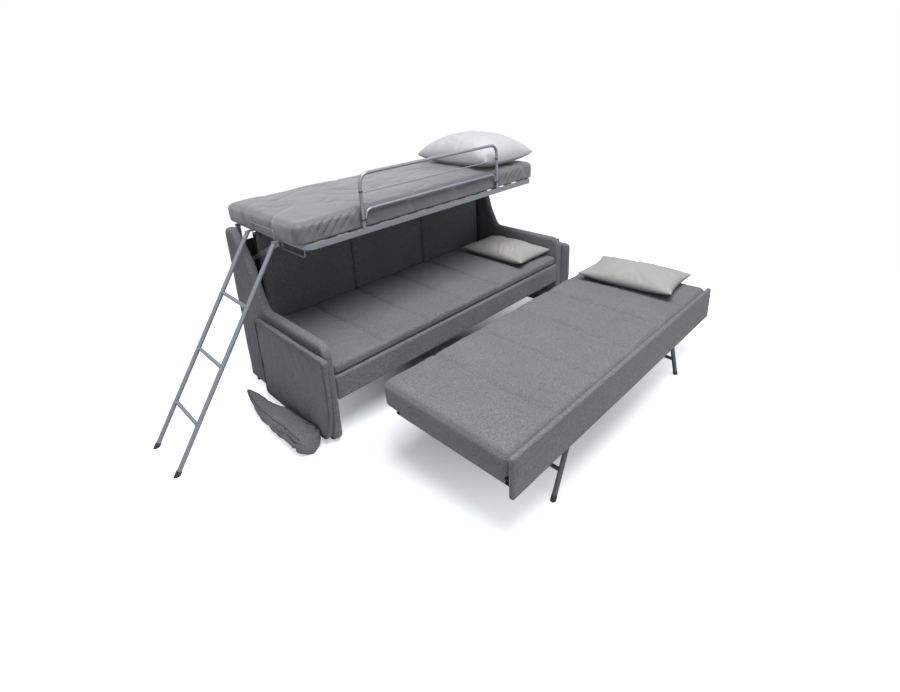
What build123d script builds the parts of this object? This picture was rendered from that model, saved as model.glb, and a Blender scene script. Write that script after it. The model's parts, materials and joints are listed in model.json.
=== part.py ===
from build123d import *
import os
from math import atan2, cos, degrees, hypot, radians, sin, tan

os.makedirs("parts", exist_ok=True)

# Millimetres, X along the sofa to its right, Y to its rear, Z up. The origin is the centre of the
# underside of the left side panel's front glide, which stands on the floor.

# Running and resting clearances
rest_gap = 0.3
soft_gap = 5
pin_gap = 0.05
overrun = 40

# Sofa body
sofa_length = 2180
sofa_depth = 1000
panel_thickness = 58
panel_edge_radius = 14
panel_foot_radius = 22
glide_height = 20
glide_radius = 20
glide_inset = 60
arm_height = 600
arm_corner_radius = 75
wing_height = 1058
wing_foot_setback = 365
wing_neck_setback = 300
wing_neck_rise = 125
wing_knee_setback = 248
wing_knee_share = 0.622
wing_crest_setback = 100
wing_back_setback = 16
wing_foot_radius = 55
wing_bend_radius = 160
wing_crest_radius = 34

left = -panel_thickness / 2
right = left + sofa_length
inner_left = left + panel_thickness
inner_right = right - panel_thickness
front = -glide_inset
rear = front + sofa_depth
middle_x = (left + right) / 2
wing_neck_z = arm_height + wing_neck_rise
wing_knee_z = arm_height + wing_knee_share * (wing_height - arm_height)

# Front rail under the seat
rail_low = 251
rail_top = 396
rail_thickness = 45
rail_setback = 3
rail_edge_radius = 12

# Seat: steel beams, slats and the channelled mattress
beam_width = 40
beam_height = 25
beam_wall = 2
seat_slat_count = 12
slat_width = 68
slat_thickness = 8
seat_core_low = 338
seat_top = 449
seat_crown = 12
seat_front_edge = 14
seat_panels = 6
seat_end_gap = 5
seat_edge = 26
seat_foot = 8
seat_corner = 24
mattress_draw_in = 4
cross_lift_share = 0.35
cross_crown_share = 0.5
cross_round_share = 0.9

# Back: three cushions on a board, the well behind them and the rear cover
back_face_setback = 220
back_cushion_thickness = 56
back_cushion_count = 3
back_cushion_drop = 38
back_cushion_crown = 12
back_cushion_edge = 22
back_cushion_foot = 2
back_cushion_draw_in = 2
back_cushion_corner = 14
back_board_thickness = 15
back_board_waist_drop = 318
side_channel = 54
rear_cover_thickness = 15
rear_cover_low = 60
rear_cover_drop = 113
cross_tube = 30
cross_tube_z = 90

# Upper bunk frame, posts, pivots and stays
bunk_side_gap = 52
bunk_front_y = 210
bunk_rear_setback = 25
bunk_wing_drop = 18
bunk_tube_height = 27
bunk_tube_width = 25
bunk_tube_wall = 2
bunk_corner_radius = 60
bunk_slat_count = 13
pivot_radius = 6
post_thickness = 24
post_width = 26
post_inset = 8
stay_thickness = 6
stay_width = 26
stay_pivot_setback = 500
stay_pivot_drop = 14
stay_pin_radius = 4
stay_seat_setback = 95
stay_seat_drop = 202
stay_stud_radius = 5
stay_notch_gap = 0.5
lug_thickness = 5
lug_width = 30

# Upper mattress
bunk_mattress_height = 120.7
bunk_mattress_crown = 14
bunk_mattress_edge = 42
bunk_mattress_foot = 16
bunk_mattress_corner = 45
bunk_mattress_overhang = 55
bunk_mattress_end_gap = 6
hook_dent_height = 38
hook_dent_gap = 7

# Guard rail
guard_left_x = 489
guard_right_x = 1660
guard_height = 323
guard_tube_radius = 10
guard_tube_wall = 1.5
guard_bend_radius = 60
guard_rod_radius = 4
guard_rod_drop = 117
guard_hoop_radius = 7.5
guard_hoop_drop = 207
guard_hoop_leg = 58
guard_hoop_bend_radius = 46
guard_sleeve_height = 9
guard_sleeve_wall = 2
guard_socket_gap = 0.3

# Ladder
ladder_foot_x = -684
ladder_head_x = 40
ladder_width = 318
ladder_rear_setback = 262
ladder_tube_radius = 12.5
ladder_tube_wall = 1.5
rung_radius = 10
rung_height_shares = (0.208, 0.4525, 0.712)
ladder_cap_radius = 15
ladder_cap_length = 26
ladder_cap_sole = 9
hook_thickness = 5
hook_width = 26
hook_drop = 18
hook_reach = 6

# Wire loops on the left end rail
wire_radius = 3
loop_front_inset = 32
loop_rear_inset = 31
loop_rise = 72
loop_offset = 7
loop_bend_radius = 9
under_loop_low_y = 262
under_loop_high_y = 500
under_loop_drop = 48

# Third bed
bed_left = 117
bed_front_y = -1127
bed_length = 2062
bed_panel_thickness = 26
bed_panel_low = 282
bed_panel_top = 486
bed_panel_edge_radius = 9
bed_frame_inset = 13
bed_frame_rear_y = -400
bed_tube = 25
bed_tube_wall = 2
bed_frame_low = 330
bed_slat_count = 13
bed_mattress_rear_y = -310
bed_mattress_top = 475
bed_mattress_crown = 12
bed_mattress_edge = 34
bed_mattress_foot = 22
bed_mattress_corner = 30
bed_mattress_panels = 6
bed_mattress_end_gap = 2
leg_splay = 23
leg_foot_inset = 348
leg_pivot_z = 314
leg_tube_radius = 12.5
leg_tube_wall = 1.5
leg_hub_radius = 13.5
leg_crossbar_z = 135
leg_crossbar_radius = 10
leg_shaft_radius = 8
leg_cap_wall = 1.6
leg_cap_height = 26
leg_cap_sole = 7
leg_bracket_thickness = 6
leg_bracket_width = 44
leg_bracket_inset = 26

# Arm pads hung on the outside of the side panels
pad_thickness = 46
pad_front_y = -46
pad_rear_y = 700
pad_low = 34
pad_top = 547
pad_crown = 7
pad_edge = 15
pad_foot = 5
pad_draw_in = 5
pad_corner = 24
flap_thickness = 5
flap_height = 38
flap_front_y = 30
flap_rear_y = 655
roll_front_y = 26
roll_rear_y = 735
roll_front_width = 150
roll_rear_width = 70
roll_front_height = 112
roll_rear_height = 78
roll_round = 24
roll_settle = 2.5

# Pillows: length, width and thickness
upper_pillow = (715, 545, 222)
lower_pillow = (600, 385, 112)
bed_pillow = (640, 400, 110)
bed_pillow_setback = 95
bed_pillow_overhang = 15
pillow_seam = 12
pillow_seam_share = 0.36
pillow_underside = 60
pillow_draw_in = 22
pillow_corner_radius = 18
pillow_turn = 4
pillow_settle = 1.5
upper_pillow_settle = 3.6


def write_piece(piece, name):
    """Labels a finished piece and writes it as one STEP file."""
    solid = piece if isinstance(piece, Part) else piece.part
    solid.label = name
    export_step(solid, f"parts/{name}.step")


def block(name, x, y, z, edge=0):
    """A board or upholstered bar between two corners, with rounded edges where edge is given."""
    with BuildPart() as piece:
        with BuildSketch(Plane.XY.offset(z[0])):
            with Locations(((x[0] + x[1]) / 2, (y[0] + y[1]) / 2)):
                Rectangle(x[1] - x[0], y[1] - y[0])
        extrude(amount=z[1] - z[0])
        if edge:
            fillet(piece.edges(), edge)
    write_piece(piece, name)


def straight_tubes(name, axis, length, starts, width, height, wall):
    """Rectangular tubes along X or Y: each start is the middle of one end, width is level."""
    across = (0, 1, 0) if axis == (1, 0, 0) else (-1, 0, 0)
    with BuildPart() as piece:
        for start in starts:
            with BuildSketch(Plane(origin=start, x_dir=across, z_dir=axis)):
                Rectangle(width, height)
                Rectangle(width - 2 * wall, height - 2 * wall, mode=Mode.SUBTRACT)
            extrude(amount=length)
    write_piece(piece, name)


def slats(name, count, x, y, z):
    """Cross slats spread evenly between the two ends in x."""
    pitch = (x[1] - x[0]) / count
    with BuildPart() as piece:
        for index in range(count):
            with BuildSketch(Plane.XY.offset(z)):
                with Locations((x[0] + (index + 0.5) * pitch, (y[0] + y[1]) / 2)):
                    Rectangle(slat_width, y[1] - y[0])
            extrude(amount=slat_thickness)
    write_piece(piece, name)


def crowned_outline(low_end, high_end, low, high, cells, rise):
    """The edges of an outline with a flat foot and one shallow arc for each cell along its top."""
    cell = (high_end - low_end) / cells
    with BuildLine() as outline:
        Polyline((low_end, high), (low_end, low), (high_end, low), (high_end, high))
        for index in range(cells):
            start = low_end + index * cell
            ThreePointArc((start, high), (start + cell / 2, high + rise), (start + cell, high))
    return outline.edges()


def waisted_outline(u, v, draw_in):
    """The edges of a rectangle whose four sides are drawn in between its corners."""
    middle_u, middle_v = (u[0] + u[1]) / 2, (v[0] + v[1]) / 2
    with BuildLine() as outline:
        ThreePointArc((u[0], v[0]), (middle_u, v[0] + draw_in), (u[1], v[0]))
        ThreePointArc((u[1], v[0]), (u[1] - draw_in, middle_v), (u[1], v[1]))
        ThreePointArc((u[1], v[1]), (middle_u, v[1] - draw_in), (u[0], v[1]))
        ThreePointArc((u[0], v[1]), (u[0] + draw_in, middle_v), (u[0], v[0]))
    return outline.edges()


def side_view(plane, ends, low, high, cells, rise, edge, foot):
    """A crowned face on one side of a padded form, with its four outer corners rounded."""
    with BuildSketch(plane) as view:
        make_face(crowned_outline(ends[0], ends[1], low, high, cells, rise))
        for end in ends:
            fillet(view.vertices().sort_by_distance((end, low, 0))[0], foot)
        for end in ends:
            fillet(view.vertices().sort_by_distance((end, high, 0))[0], edge)
    return view.sketch


def padded_form(base, u, v, w, cells, crown, edge, foot, draw_in, corner):
    """The space common to a waisted plan and two crowned side views, u and v level on base."""
    side_u = Plane(origin=base.origin + base.y_dir * v[0], x_dir=base.x_dir, z_dir=-base.y_dir)
    side_v = Plane(origin=base.origin + base.x_dir * u[0], x_dir=base.y_dir, z_dir=base.x_dir)
    view_u = side_view(side_u, u, w[0], w[1], cells, crown, edge, foot)
    top, rise = w[1] + crown * cross_lift_share, crown * cross_crown_share
    rounds = (edge * cross_round_share, foot * cross_round_share)
    view_v = side_view(side_v, v, w[0], top, 1, rise, *rounds)
    with BuildPart() as form:
        with BuildSketch(base.offset(w[0] - crown)) as plan:
            make_face(waisted_outline(u, v, draw_in))
            fillet(plan.vertices(), corner)
        extrude(amount=w[1] - w[0] + 3 * crown)
        extrude(view_u, amount=v[0] - v[1], mode=Mode.INTERSECT)
        extrude(view_v, amount=u[1] - u[0], mode=Mode.INTERSECT)
    return form.part


def bent_tube(name, points, bend_radius, outer, wall):
    """A round tube along straight runs joined by bends."""
    with BuildPart() as piece:
        with BuildLine() as route:
            FilletPolyline(*points, radius=bend_radius)
        with BuildSketch(Plane(origin=route.line @ 0, z_dir=route.line % 0)):
            Circle(outer)
            if wall:
                Circle(outer - wall, mode=Mode.SUBTRACT)
        sweep()
    write_piece(piece, name)


def side_panel(name, outer_x):
    """Arm and tall back wing in one upholstered board."""
    with BuildPart() as piece:
        with BuildSketch(Plane.YZ.offset(outer_x)) as outline:
            with BuildLine():
                Polyline(
                    (front, glide_height),
                    (front, arm_height),
                    (rear - wing_foot_setback, arm_height),
                    (rear - wing_neck_setback, wing_neck_z),
                    (rear - wing_knee_setback, wing_knee_z),
                    (rear - wing_crest_setback, wing_height),
                    (rear - wing_back_setback, wing_height),
                    (rear, glide_height),
                    close=True,
                )
            make_face()
            corners = outline.vertices()
            bends = (
                ((front, glide_height), panel_foot_radius),
                ((front, arm_height), arm_corner_radius),
                ((rear - wing_foot_setback, arm_height), wing_foot_radius),
                ((rear - wing_neck_setback, wing_neck_z), wing_bend_radius),
                ((rear - wing_knee_setback, wing_knee_z), wing_bend_radius),
                ((rear - wing_crest_setback, wing_height), wing_crest_radius),
                ((rear - wing_back_setback, wing_height), wing_crest_radius),
            )
            for place, radius in bends:
                fillet(outline.vertices().sort_by_distance((*place, 0))[0], radius)
        extrude(amount=panel_thickness)
        faces = piece.faces().filter_by(Axis.X)
        fillet(faces.edges(), panel_edge_radius)
    write_piece(piece, name)


side_panel("side_panel_left", left)
side_panel("side_panel_right", inner_right)

# Four glides, two under each side panel
with BuildPart() as glides:
    with BuildSketch():
        for panel_x in (left + panel_thickness / 2, right - panel_thickness / 2):
            for glide_y in (front + glide_inset, rear - glide_inset):
                with Locations((panel_x, glide_y)):
                    Circle(glide_radius)
    extrude(amount=glide_height)
write_piece(glides, "floor_glides")

block(
    "front_rail",
    (inner_left + rest_gap, inner_right - rest_gap),
    (front + rail_setback, front + rail_setback + rail_thickness),
    (rail_low, rail_top),
    rail_edge_radius,
)

# Seat structure
seat_slat_z = seat_core_low - slat_thickness
seat_beam_z = seat_slat_z - beam_height / 2
seat_front_y = front + rail_setback + rail_thickness
seat_rear_y = rear - back_face_setback
seat_beam_length = inner_right - inner_left
straight_tubes(
    "seat_beams",
    (1, 0, 0),
    seat_beam_length,
    (
        (inner_left, seat_front_y + beam_width / 2, seat_beam_z),
        (inner_left, seat_rear_y - beam_width / 2, seat_beam_z),
    ),
    beam_width,
    beam_height,
    beam_wall,
)
slats(
    "seat_slats",
    seat_slat_count,
    (inner_left, inner_right),
    (seat_front_y, seat_rear_y),
    seat_slat_z,
)

seat_u = (inner_left + seat_end_gap, inner_right - seat_end_gap)
seat_v = (front + seat_front_edge, seat_rear_y - soft_gap)
seat_w = (rail_top + rest_gap, seat_top)
seat_form = padded_form(
    Plane.XY,
    seat_u,
    seat_v,
    seat_w,
    seat_panels,
    seat_crown,
    seat_edge,
    seat_foot,
    mattress_draw_in,
    seat_corner,
)
with BuildPart() as seat_mattress:
    add(seat_form)
    with BuildSketch(Plane.XY.offset(seat_core_low)):
        with Locations((middle_x, (seat_front_y + seat_v[1]) / 2)):
            Rectangle(seat_u[1] - seat_u[0], seat_v[1] - seat_front_y - 2 * soft_gap)
    extrude(amount=seat_w[0] - seat_core_low + seat_front_edge)
write_piece(seat_mattress, "seat_mattress")

# Back cushions, their board and the cross tubes that join the two side panels
back_cushion_top = wing_height - back_cushion_drop
back_board_waist = wing_height - back_board_waist_drop
back_x = (inner_left + side_channel, inner_right - side_channel)
cushion_width = (back_x[1] - back_x[0]) / back_cushion_count
board_y = rear - back_face_setback + back_cushion_thickness + rest_gap
for index in range(back_cushion_count):
    cushion_x = back_x[0] + index * cushion_width
    cushion_plane = Plane(
        origin=(cushion_x, board_y - rest_gap, seat_core_low), x_dir=(1, 0, 0), z_dir=(0, -1, 0)
    )
    back_cushion = padded_form(
        cushion_plane,
        (rest_gap, cushion_width - rest_gap),
        (0, back_cushion_top - seat_core_low),
        (0, back_cushion_thickness - back_cushion_crown),
        1,
        back_cushion_crown,
        back_cushion_edge,
        back_cushion_foot,
        back_cushion_draw_in,
        back_cushion_corner,
    )
    write_piece(back_cushion, f"back_cushion_{index + 1}")

with BuildPart() as back_board:
    with BuildSketch(Plane(origin=(0, board_y, 0), x_dir=(1, 0, 0), z_dir=(0, -1, 0))):
        with Locations((middle_x, (rail_low + back_board_waist) / 2)):
            Rectangle(inner_right - inner_left, back_board_waist - rail_low)
        with Locations((middle_x, (back_board_waist + back_cushion_top) / 2)):
            Rectangle(back_x[1] - back_x[0], back_cushion_top - back_board_waist)
    extrude(amount=-back_board_thickness)
write_piece(back_board, "back_board")

rear_cover_top = wing_height - rear_cover_drop
block(
    "rear_cover",
    (inner_left, inner_right),
    (rear - rear_cover_thickness - rest_gap, rear - rest_gap),
    (rear_cover_low, rear_cover_top),
    rear_cover_thickness / 3,
)
straight_tubes(
    "rear_cross_tube",
    (1, 0, 0),
    seat_beam_length,
    ((inner_left, rear - rear_cover_thickness - rest_gap - cross_tube / 2, cross_tube_z),),
    cross_tube,
    cross_tube,
    beam_wall,
)

# Posts beside the back, which carry the bunk's pivots and the studs that the stays rest on
bunk_left = inner_left + bunk_side_gap
bunk_right = inner_right - bunk_side_gap
bunk_length = bunk_right - bunk_left
bunk_low = wing_height - bunk_wing_drop
bunk_top = bunk_low + bunk_tube_height
pivot_y = rear - bunk_rear_setback - bunk_tube_width / 2
pivot_z = bunk_low + bunk_tube_height / 2
post_low = cross_tube_z + cross_tube / 2
stay_gap = (bunk_left - inner_left - post_inset - post_thickness - stay_thickness) / 2
post_top = pivot_z
stay_pivot = (rear - stay_pivot_setback, bunk_low - stay_pivot_drop)
stay_seat = (rear - stay_seat_setback, bunk_low - stay_seat_drop)


def mirror_x(x, on_right):
    """The same place on the other side of the sofa's middle."""
    return 2 * middle_x - x if on_right else x


def side_plane(x, on_right):
    """A plane whose normal points from the outside of the sofa to its middle."""
    place = mirror_x(x, on_right)
    if on_right:
        return Plane(origin=(place, 0, 0), x_dir=(0, -1, 0), z_dir=(-1, 0, 0))
    return Plane(origin=(place, 0, 0), x_dir=(0, 1, 0), z_dir=(1, 0, 0))


def on_side(y, z, on_right):
    """A point on side_plane from its real y and z."""
    return (-y if on_right else y, z)


for on_right, side in ((False, "left"), (True, "right")):
    post_x = inner_left + post_inset
    stay_x = post_x + post_thickness + stay_gap
    with BuildPart() as post:
        with BuildSketch(side_plane(post_x, on_right)):
            with Locations(on_side(pivot_y, (post_low + post_top) / 2, on_right)):
                Rectangle(post_width, post_top - post_low)
            with Locations(on_side(pivot_y, pivot_z, on_right)):
                Circle(post_width / 2)
                Circle(pivot_radius + pin_gap, mode=Mode.SUBTRACT)
        extrude(amount=post_thickness)
        # A foot and an upper pad bolt the post to the side panel
        for pad_z in (post_low + post_width, back_board_waist, rear_cover_top - post_width):
            with BuildSketch(side_plane(inner_left, on_right)):
                with Locations(on_side(pivot_y, pad_z, on_right)):
                    Rectangle(post_width, post_width)
            extrude(amount=post_inset)
        # An arm carries the stud for the stay
        stud_reach = pivot_y - stay_seat[0]
        with BuildSketch(side_plane(post_x, on_right)):
            with Locations(on_side(pivot_y - stud_reach / 2, stay_seat[1], on_right)):
                Rectangle(stud_reach, lug_width)
            with Locations(on_side(*stay_seat, on_right)):
                Circle(lug_width / 2)
        extrude(amount=post_thickness)
        with BuildSketch(side_plane(post_x + post_thickness, on_right)):
            with Locations(on_side(*stay_seat, on_right)):
                Circle(stay_stud_radius)
        extrude(amount=stay_thickness + 2 * stay_gap - rest_gap)
    write_piece(post, f"bunk_post_{side}")

    # The stay: a flat bar with a pivot hole at the bunk and a half-round notch at the stud
    run_y = stay_seat[0] - stay_pivot[0]
    run_z = stay_seat[1] - stay_pivot[1]
    stay_length = hypot(run_y, run_z)
    stay_angle = degrees(atan2(run_z, -run_y if on_right else run_y))
    middle = ((stay_seat[0] + stay_pivot[0]) / 2, (stay_seat[1] + stay_pivot[1]) / 2)
    with BuildPart() as stay:
        with BuildSketch(side_plane(stay_x, on_right)):
            with Locations(Location((*on_side(*middle, on_right), 0), (0, 0, stay_angle))):
                Rectangle(stay_length, stay_width)
            with Locations(on_side(*stay_pivot, on_right)):
                Circle(stay_width / 2)
                Circle(stay_pin_radius + pin_gap, mode=Mode.SUBTRACT)
            with Locations(on_side(*stay_seat, on_right)):
                Circle(stay_stud_radius + stay_notch_gap, mode=Mode.SUBTRACT)
        extrude(amount=stay_thickness)
    write_piece(stay, f"bunk_stay_{side}")

    # The lug under the end rail, with the pin that the stay turns on
    with BuildPart() as lug:
        with BuildSketch(side_plane(bunk_left, on_right)):
            with Locations(on_side(stay_pivot[0], bunk_low - stay_pivot_drop, on_right)):
                Circle(lug_width / 2)
            with Locations(on_side(stay_pivot[0], bunk_low - stay_pivot_drop / 2, on_right)):
                Rectangle(lug_width, stay_pivot_drop)
            with Locations(on_side(stay_pivot[0], bunk_top, on_right)):
                Rectangle(2 * lug_width, 2 * bunk_tube_height, mode=Mode.SUBTRACT)
        extrude(amount=lug_thickness)
        with BuildSketch(side_plane(bunk_left, on_right)):
            with Locations(on_side(*stay_pivot, on_right)):
                Circle(stay_pin_radius)
        extrude(amount=-(stay_gap + stay_thickness + stay_gap / 2))
    write_piece(lug, f"stay_lug_{side}")

    # The pivot pin through the post, welded to the end of the rear rail
    with BuildPart() as pivot:
        with BuildSketch(side_plane(post_x, on_right)):
            with Locations(on_side(pivot_y, pivot_z, on_right)):
                Circle(pivot_radius)
        extrude(amount=bunk_left - post_x)
    write_piece(pivot, f"bunk_pivot_{side}")

# Bunk frame: one tube bent round the two front corners, closed by the rear rail
tube_z = bunk_low + bunk_tube_height / 2
tube_half = bunk_tube_width / 2
hoop_left = bunk_left + tube_half
hoop_right = bunk_right - tube_half
hoop_front = front + bunk_front_y + tube_half
hoop_rear = rear - bunk_rear_setback - bunk_tube_width
bunk_corner = bunk_corner_radius - tube_half
with BuildPart() as bunk_hoop:
    with BuildLine() as hoop_route:
        FilletPolyline(
            (hoop_left, hoop_rear, tube_z),
            (hoop_left, hoop_front, tube_z),
            (hoop_right, hoop_front, tube_z),
            (hoop_right, hoop_rear, tube_z),
            radius=bunk_corner,
        )
    section = Plane(origin=hoop_route.line @ 0, x_dir=(1, 0, 0), z_dir=hoop_route.line % 0)
    with BuildSketch(section):
        Rectangle(bunk_tube_width, bunk_tube_height)
        Rectangle(
            bunk_tube_width - 2 * bunk_tube_wall,
            bunk_tube_height - 2 * bunk_tube_wall,
            mode=Mode.SUBTRACT,
        )
    sweep()
    # Round holes in the top wall take the guard rail's posts
    with BuildSketch(Plane.XY.offset(bunk_top - bunk_tube_wall)):
        for post_x in (left + guard_left_x, left + guard_right_x):
            with Locations((post_x, hoop_front)):
                Circle(guard_tube_radius + guard_socket_gap)
    extrude(amount=2 * bunk_tube_wall, mode=Mode.SUBTRACT)
write_piece(bunk_hoop, "bunk_frame_hoop")

straight_tubes(
    "bunk_rear_rail",
    (1, 0, 0),
    bunk_length,
    ((bunk_left, pivot_y, tube_z),),
    bunk_tube_width,
    bunk_tube_height,
    bunk_tube_wall,
)
slats(
    "bunk_slats",
    bunk_slat_count,
    (bunk_left + bunk_tube_width, bunk_right - bunk_tube_width),
    (front + bunk_front_y + bunk_tube_width, pivot_y - tube_half),
    bunk_top - slat_thickness,
)

# Upper mattress in its fitted sheet, dented over the ladder's hooks
ladder_rear_y = rear - ladder_rear_setback
ladder_front_y = ladder_rear_y - ladder_width
dent_half = hook_width / 2 + hook_dent_gap
dent_end = bunk_left + bunk_tube_width + hook_reach + hook_thickness + hook_dent_gap
bunk_mattress_low = bunk_top + rest_gap
bunk_mattress_top = bunk_mattress_low + bunk_mattress_height
bunk_u = (inner_left + bunk_mattress_end_gap, inner_right - bunk_mattress_end_gap)
bunk_v = (hoop_front + guard_tube_radius + soft_gap, rear + bunk_mattress_overhang)
upper_form = padded_form(
    Plane.XY,
    bunk_u,
    bunk_v,
    (bunk_mattress_low, bunk_mattress_top),
    1,
    bunk_mattress_crown,
    bunk_mattress_edge,
    bunk_mattress_foot,
    mattress_draw_in,
    bunk_mattress_corner,
)
with BuildPart() as upper_mattress:
    add(upper_form)
    with BuildSketch(Plane.XY.offset(bunk_mattress_low - overrun)):
        for stile_y in (ladder_front_y, ladder_rear_y):
            with Locations(((bunk_u[0] + dent_end) / 2 - overrun / 2, stile_y)):
                Rectangle(dent_end - bunk_u[0] + overrun, 2 * dent_half)
    extrude(amount=overrun + hook_dent_height, mode=Mode.SUBTRACT)
write_piece(upper_mattress, "upper_mattress")

# Guard rail, whose posts stand in the hoop's front tube
guard_foot_z = bunk_low + bunk_tube_wall + rest_gap
guard_left = left + guard_left_x
guard_right = left + guard_right_x
guard_y = hoop_front
guard_top = bunk_top + guard_height
guard_rod_z = guard_top - guard_rod_drop
guard_hoop_top_z = guard_top - guard_hoop_drop
guard_hoop_foot_z = guard_hoop_top_z - guard_hoop_leg
bent_tube(
    "guard_hoop",
    (
        (guard_left, guard_y, guard_foot_z),
        (guard_left, guard_y, guard_top - guard_tube_radius),
        (guard_right, guard_y, guard_top - guard_tube_radius),
        (guard_right, guard_y, guard_foot_z),
    ),
    guard_bend_radius,
    guard_tube_radius,
    guard_tube_wall,
)
with BuildPart() as guard_rod:
    with BuildSketch(Plane.YZ.offset(guard_left + guard_tube_radius)):
        with Locations((guard_y, guard_rod_z)):
            Circle(guard_rod_radius)
    extrude(amount=guard_right - guard_left - 2 * guard_tube_radius)
write_piece(guard_rod, "guard_rod")
inner_x = guard_tube_radius + guard_hoop_radius + guard_sleeve_wall
bent_tube(
    "guard_lower_hoop",
    (
        (guard_left + inner_x, guard_y, guard_hoop_foot_z),
        (guard_left + inner_x, guard_y, guard_hoop_top_z - guard_hoop_radius),
        (guard_right - inner_x, guard_y, guard_hoop_top_z - guard_hoop_radius),
        (guard_right - inner_x, guard_y, guard_hoop_foot_z),
    ),
    guard_hoop_bend_radius,
    guard_hoop_radius,
    guard_tube_wall,
)
sleeve_outer = guard_tube_radius + guard_sleeve_wall
with BuildPart() as guard_sleeves:
    for sleeve_z in (guard_rod_z + guard_rod_radius, guard_hoop_foot_z - guard_sleeve_height):
        with BuildSketch(Plane.XY.offset(sleeve_z)):
            for post_x, inwards in ((guard_left, 1), (guard_right, -1)):
                with Locations((post_x, guard_y)):
                    Circle(sleeve_outer)
                if sleeve_z < guard_rod_z:
                    with Locations((post_x + inwards * inner_x / 2, guard_y)):
                        Rectangle(inner_x, 2 * guard_hoop_radius)
                    with Locations((post_x + inwards * inner_x, guard_y)):
                        Circle(guard_hoop_radius)
                with Locations((post_x, guard_y)):
                    Circle(guard_tube_radius, mode=Mode.SUBTRACT)
        extrude(amount=guard_sleeve_height)
write_piece(guard_sleeves, "guard_sleeves")

# Ladder: two stiles, three rungs, flat hooks over the end rail and rubber foot caps
head_x = left + ladder_head_x
foot_x = left + ladder_foot_x
hook_z = bunk_top + rest_gap
lean = degrees(atan2(hook_z, head_x - foot_x))
stile_dir = (cos(radians(lean)), 0, sin(radians(lean)))
stile_length = hypot(head_x - foot_x, hook_z)
stiles = (("front", ladder_front_y), ("rear", ladder_rear_y))
for side, stile_y in stiles:
    foot = Plane(origin=(foot_x, stile_y, 0), x_dir=(0, 1, 0), z_dir=stile_dir)
    with BuildPart() as stile:
        with BuildSketch(foot.offset(ladder_cap_sole + ladder_tube_radius)):
            Circle(ladder_tube_radius)
            Circle(ladder_tube_radius - ladder_tube_wall, mode=Mode.SUBTRACT)
        extrude(amount=stile_length)
        # The head is cut level just under the hook
        with BuildSketch(Plane.XY.offset(hook_z)):
            with Locations((head_x, stile_y)):
                Rectangle(stile_length, 2 * hook_width)
        extrude(amount=stile_length, mode=Mode.SUBTRACT)
    write_piece(stile, f"ladder_stile_{side}")

with BuildPart() as rungs:
    for share in rung_height_shares:
        with BuildSketch(Plane.XZ.offset(-(stiles[0][1] + ladder_tube_radius))):
            with Locations((foot_x + share * (head_x - foot_x), share * hook_z)):
                Circle(rung_radius)
                Circle(rung_radius - ladder_tube_wall, mode=Mode.SUBTRACT)
        extrude(amount=-(stiles[1][1] - stiles[0][1] - 2 * ladder_tube_radius))
write_piece(rungs, "ladder_rungs")

hook_end = bunk_left + bunk_tube_width + hook_reach
hook_start = head_x - ladder_tube_radius
with BuildPart() as hooks:
    for side, stile_y in stiles:
        with BuildSketch(Plane.XY.offset(hook_z)):
            with Locations(((hook_start + hook_end) / 2 + hook_thickness / 2, stile_y)):
                Rectangle(hook_end - hook_start + hook_thickness, hook_width)
        extrude(amount=hook_thickness)
        with BuildSketch(Plane.XY.offset(hook_z - hook_drop)):
            with Locations((hook_end + hook_thickness / 2, stile_y)):
                Rectangle(hook_thickness, hook_width)
        extrude(amount=hook_drop)
write_piece(hooks, "ladder_hooks")

with BuildPart() as foot_caps:
    for side, stile_y in stiles:
        foot = Plane(origin=(foot_x, stile_y, 0), x_dir=(0, 1, 0), z_dir=stile_dir)
        with BuildSketch(foot.offset(-ladder_cap_radius)):
            Circle(ladder_cap_radius)
        extrude(amount=ladder_cap_radius + ladder_cap_length)
        with BuildSketch(foot.offset(ladder_cap_sole + ladder_tube_radius)):
            Circle(ladder_tube_radius)
        extrude(amount=ladder_cap_length, mode=Mode.SUBTRACT)
    split(bisect_by=Plane.XY, keep=Keep.TOP)
write_piece(foot_caps, "ladder_foot_caps")

# Wire loops: one stands up against the mattress end, one hangs under the rail
loop_low_y = ladder_front_y + loop_front_inset
loop_high_y = ladder_rear_y - loop_rear_inset
loop_face_x = bunk_u[0] - loop_offset
bent_tube(
    "mattress_loop",
    (
        (bunk_left, loop_low_y, pivot_z),
        (loop_face_x, loop_low_y, pivot_z),
        (loop_face_x, loop_low_y, pivot_z + loop_rise),
        (loop_face_x, loop_high_y, pivot_z + loop_rise),
        (loop_face_x, loop_high_y, pivot_z),
        (bunk_left, loop_high_y, pivot_z),
    ),
    loop_bend_radius,
    wire_radius,
    0,
)
under_x = bunk_left + tube_half
bent_tube(
    "under_loop",
    (
        (under_x, front + under_loop_low_y, bunk_low - rest_gap),
        (under_x, front + under_loop_low_y, bunk_low - under_loop_drop),
        (under_x, front + under_loop_high_y, bunk_low - under_loop_drop),
        (under_x, front + under_loop_high_y, bunk_low - rest_gap),
    ),
    loop_bend_radius,
    wire_radius,
    0,
)

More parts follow.
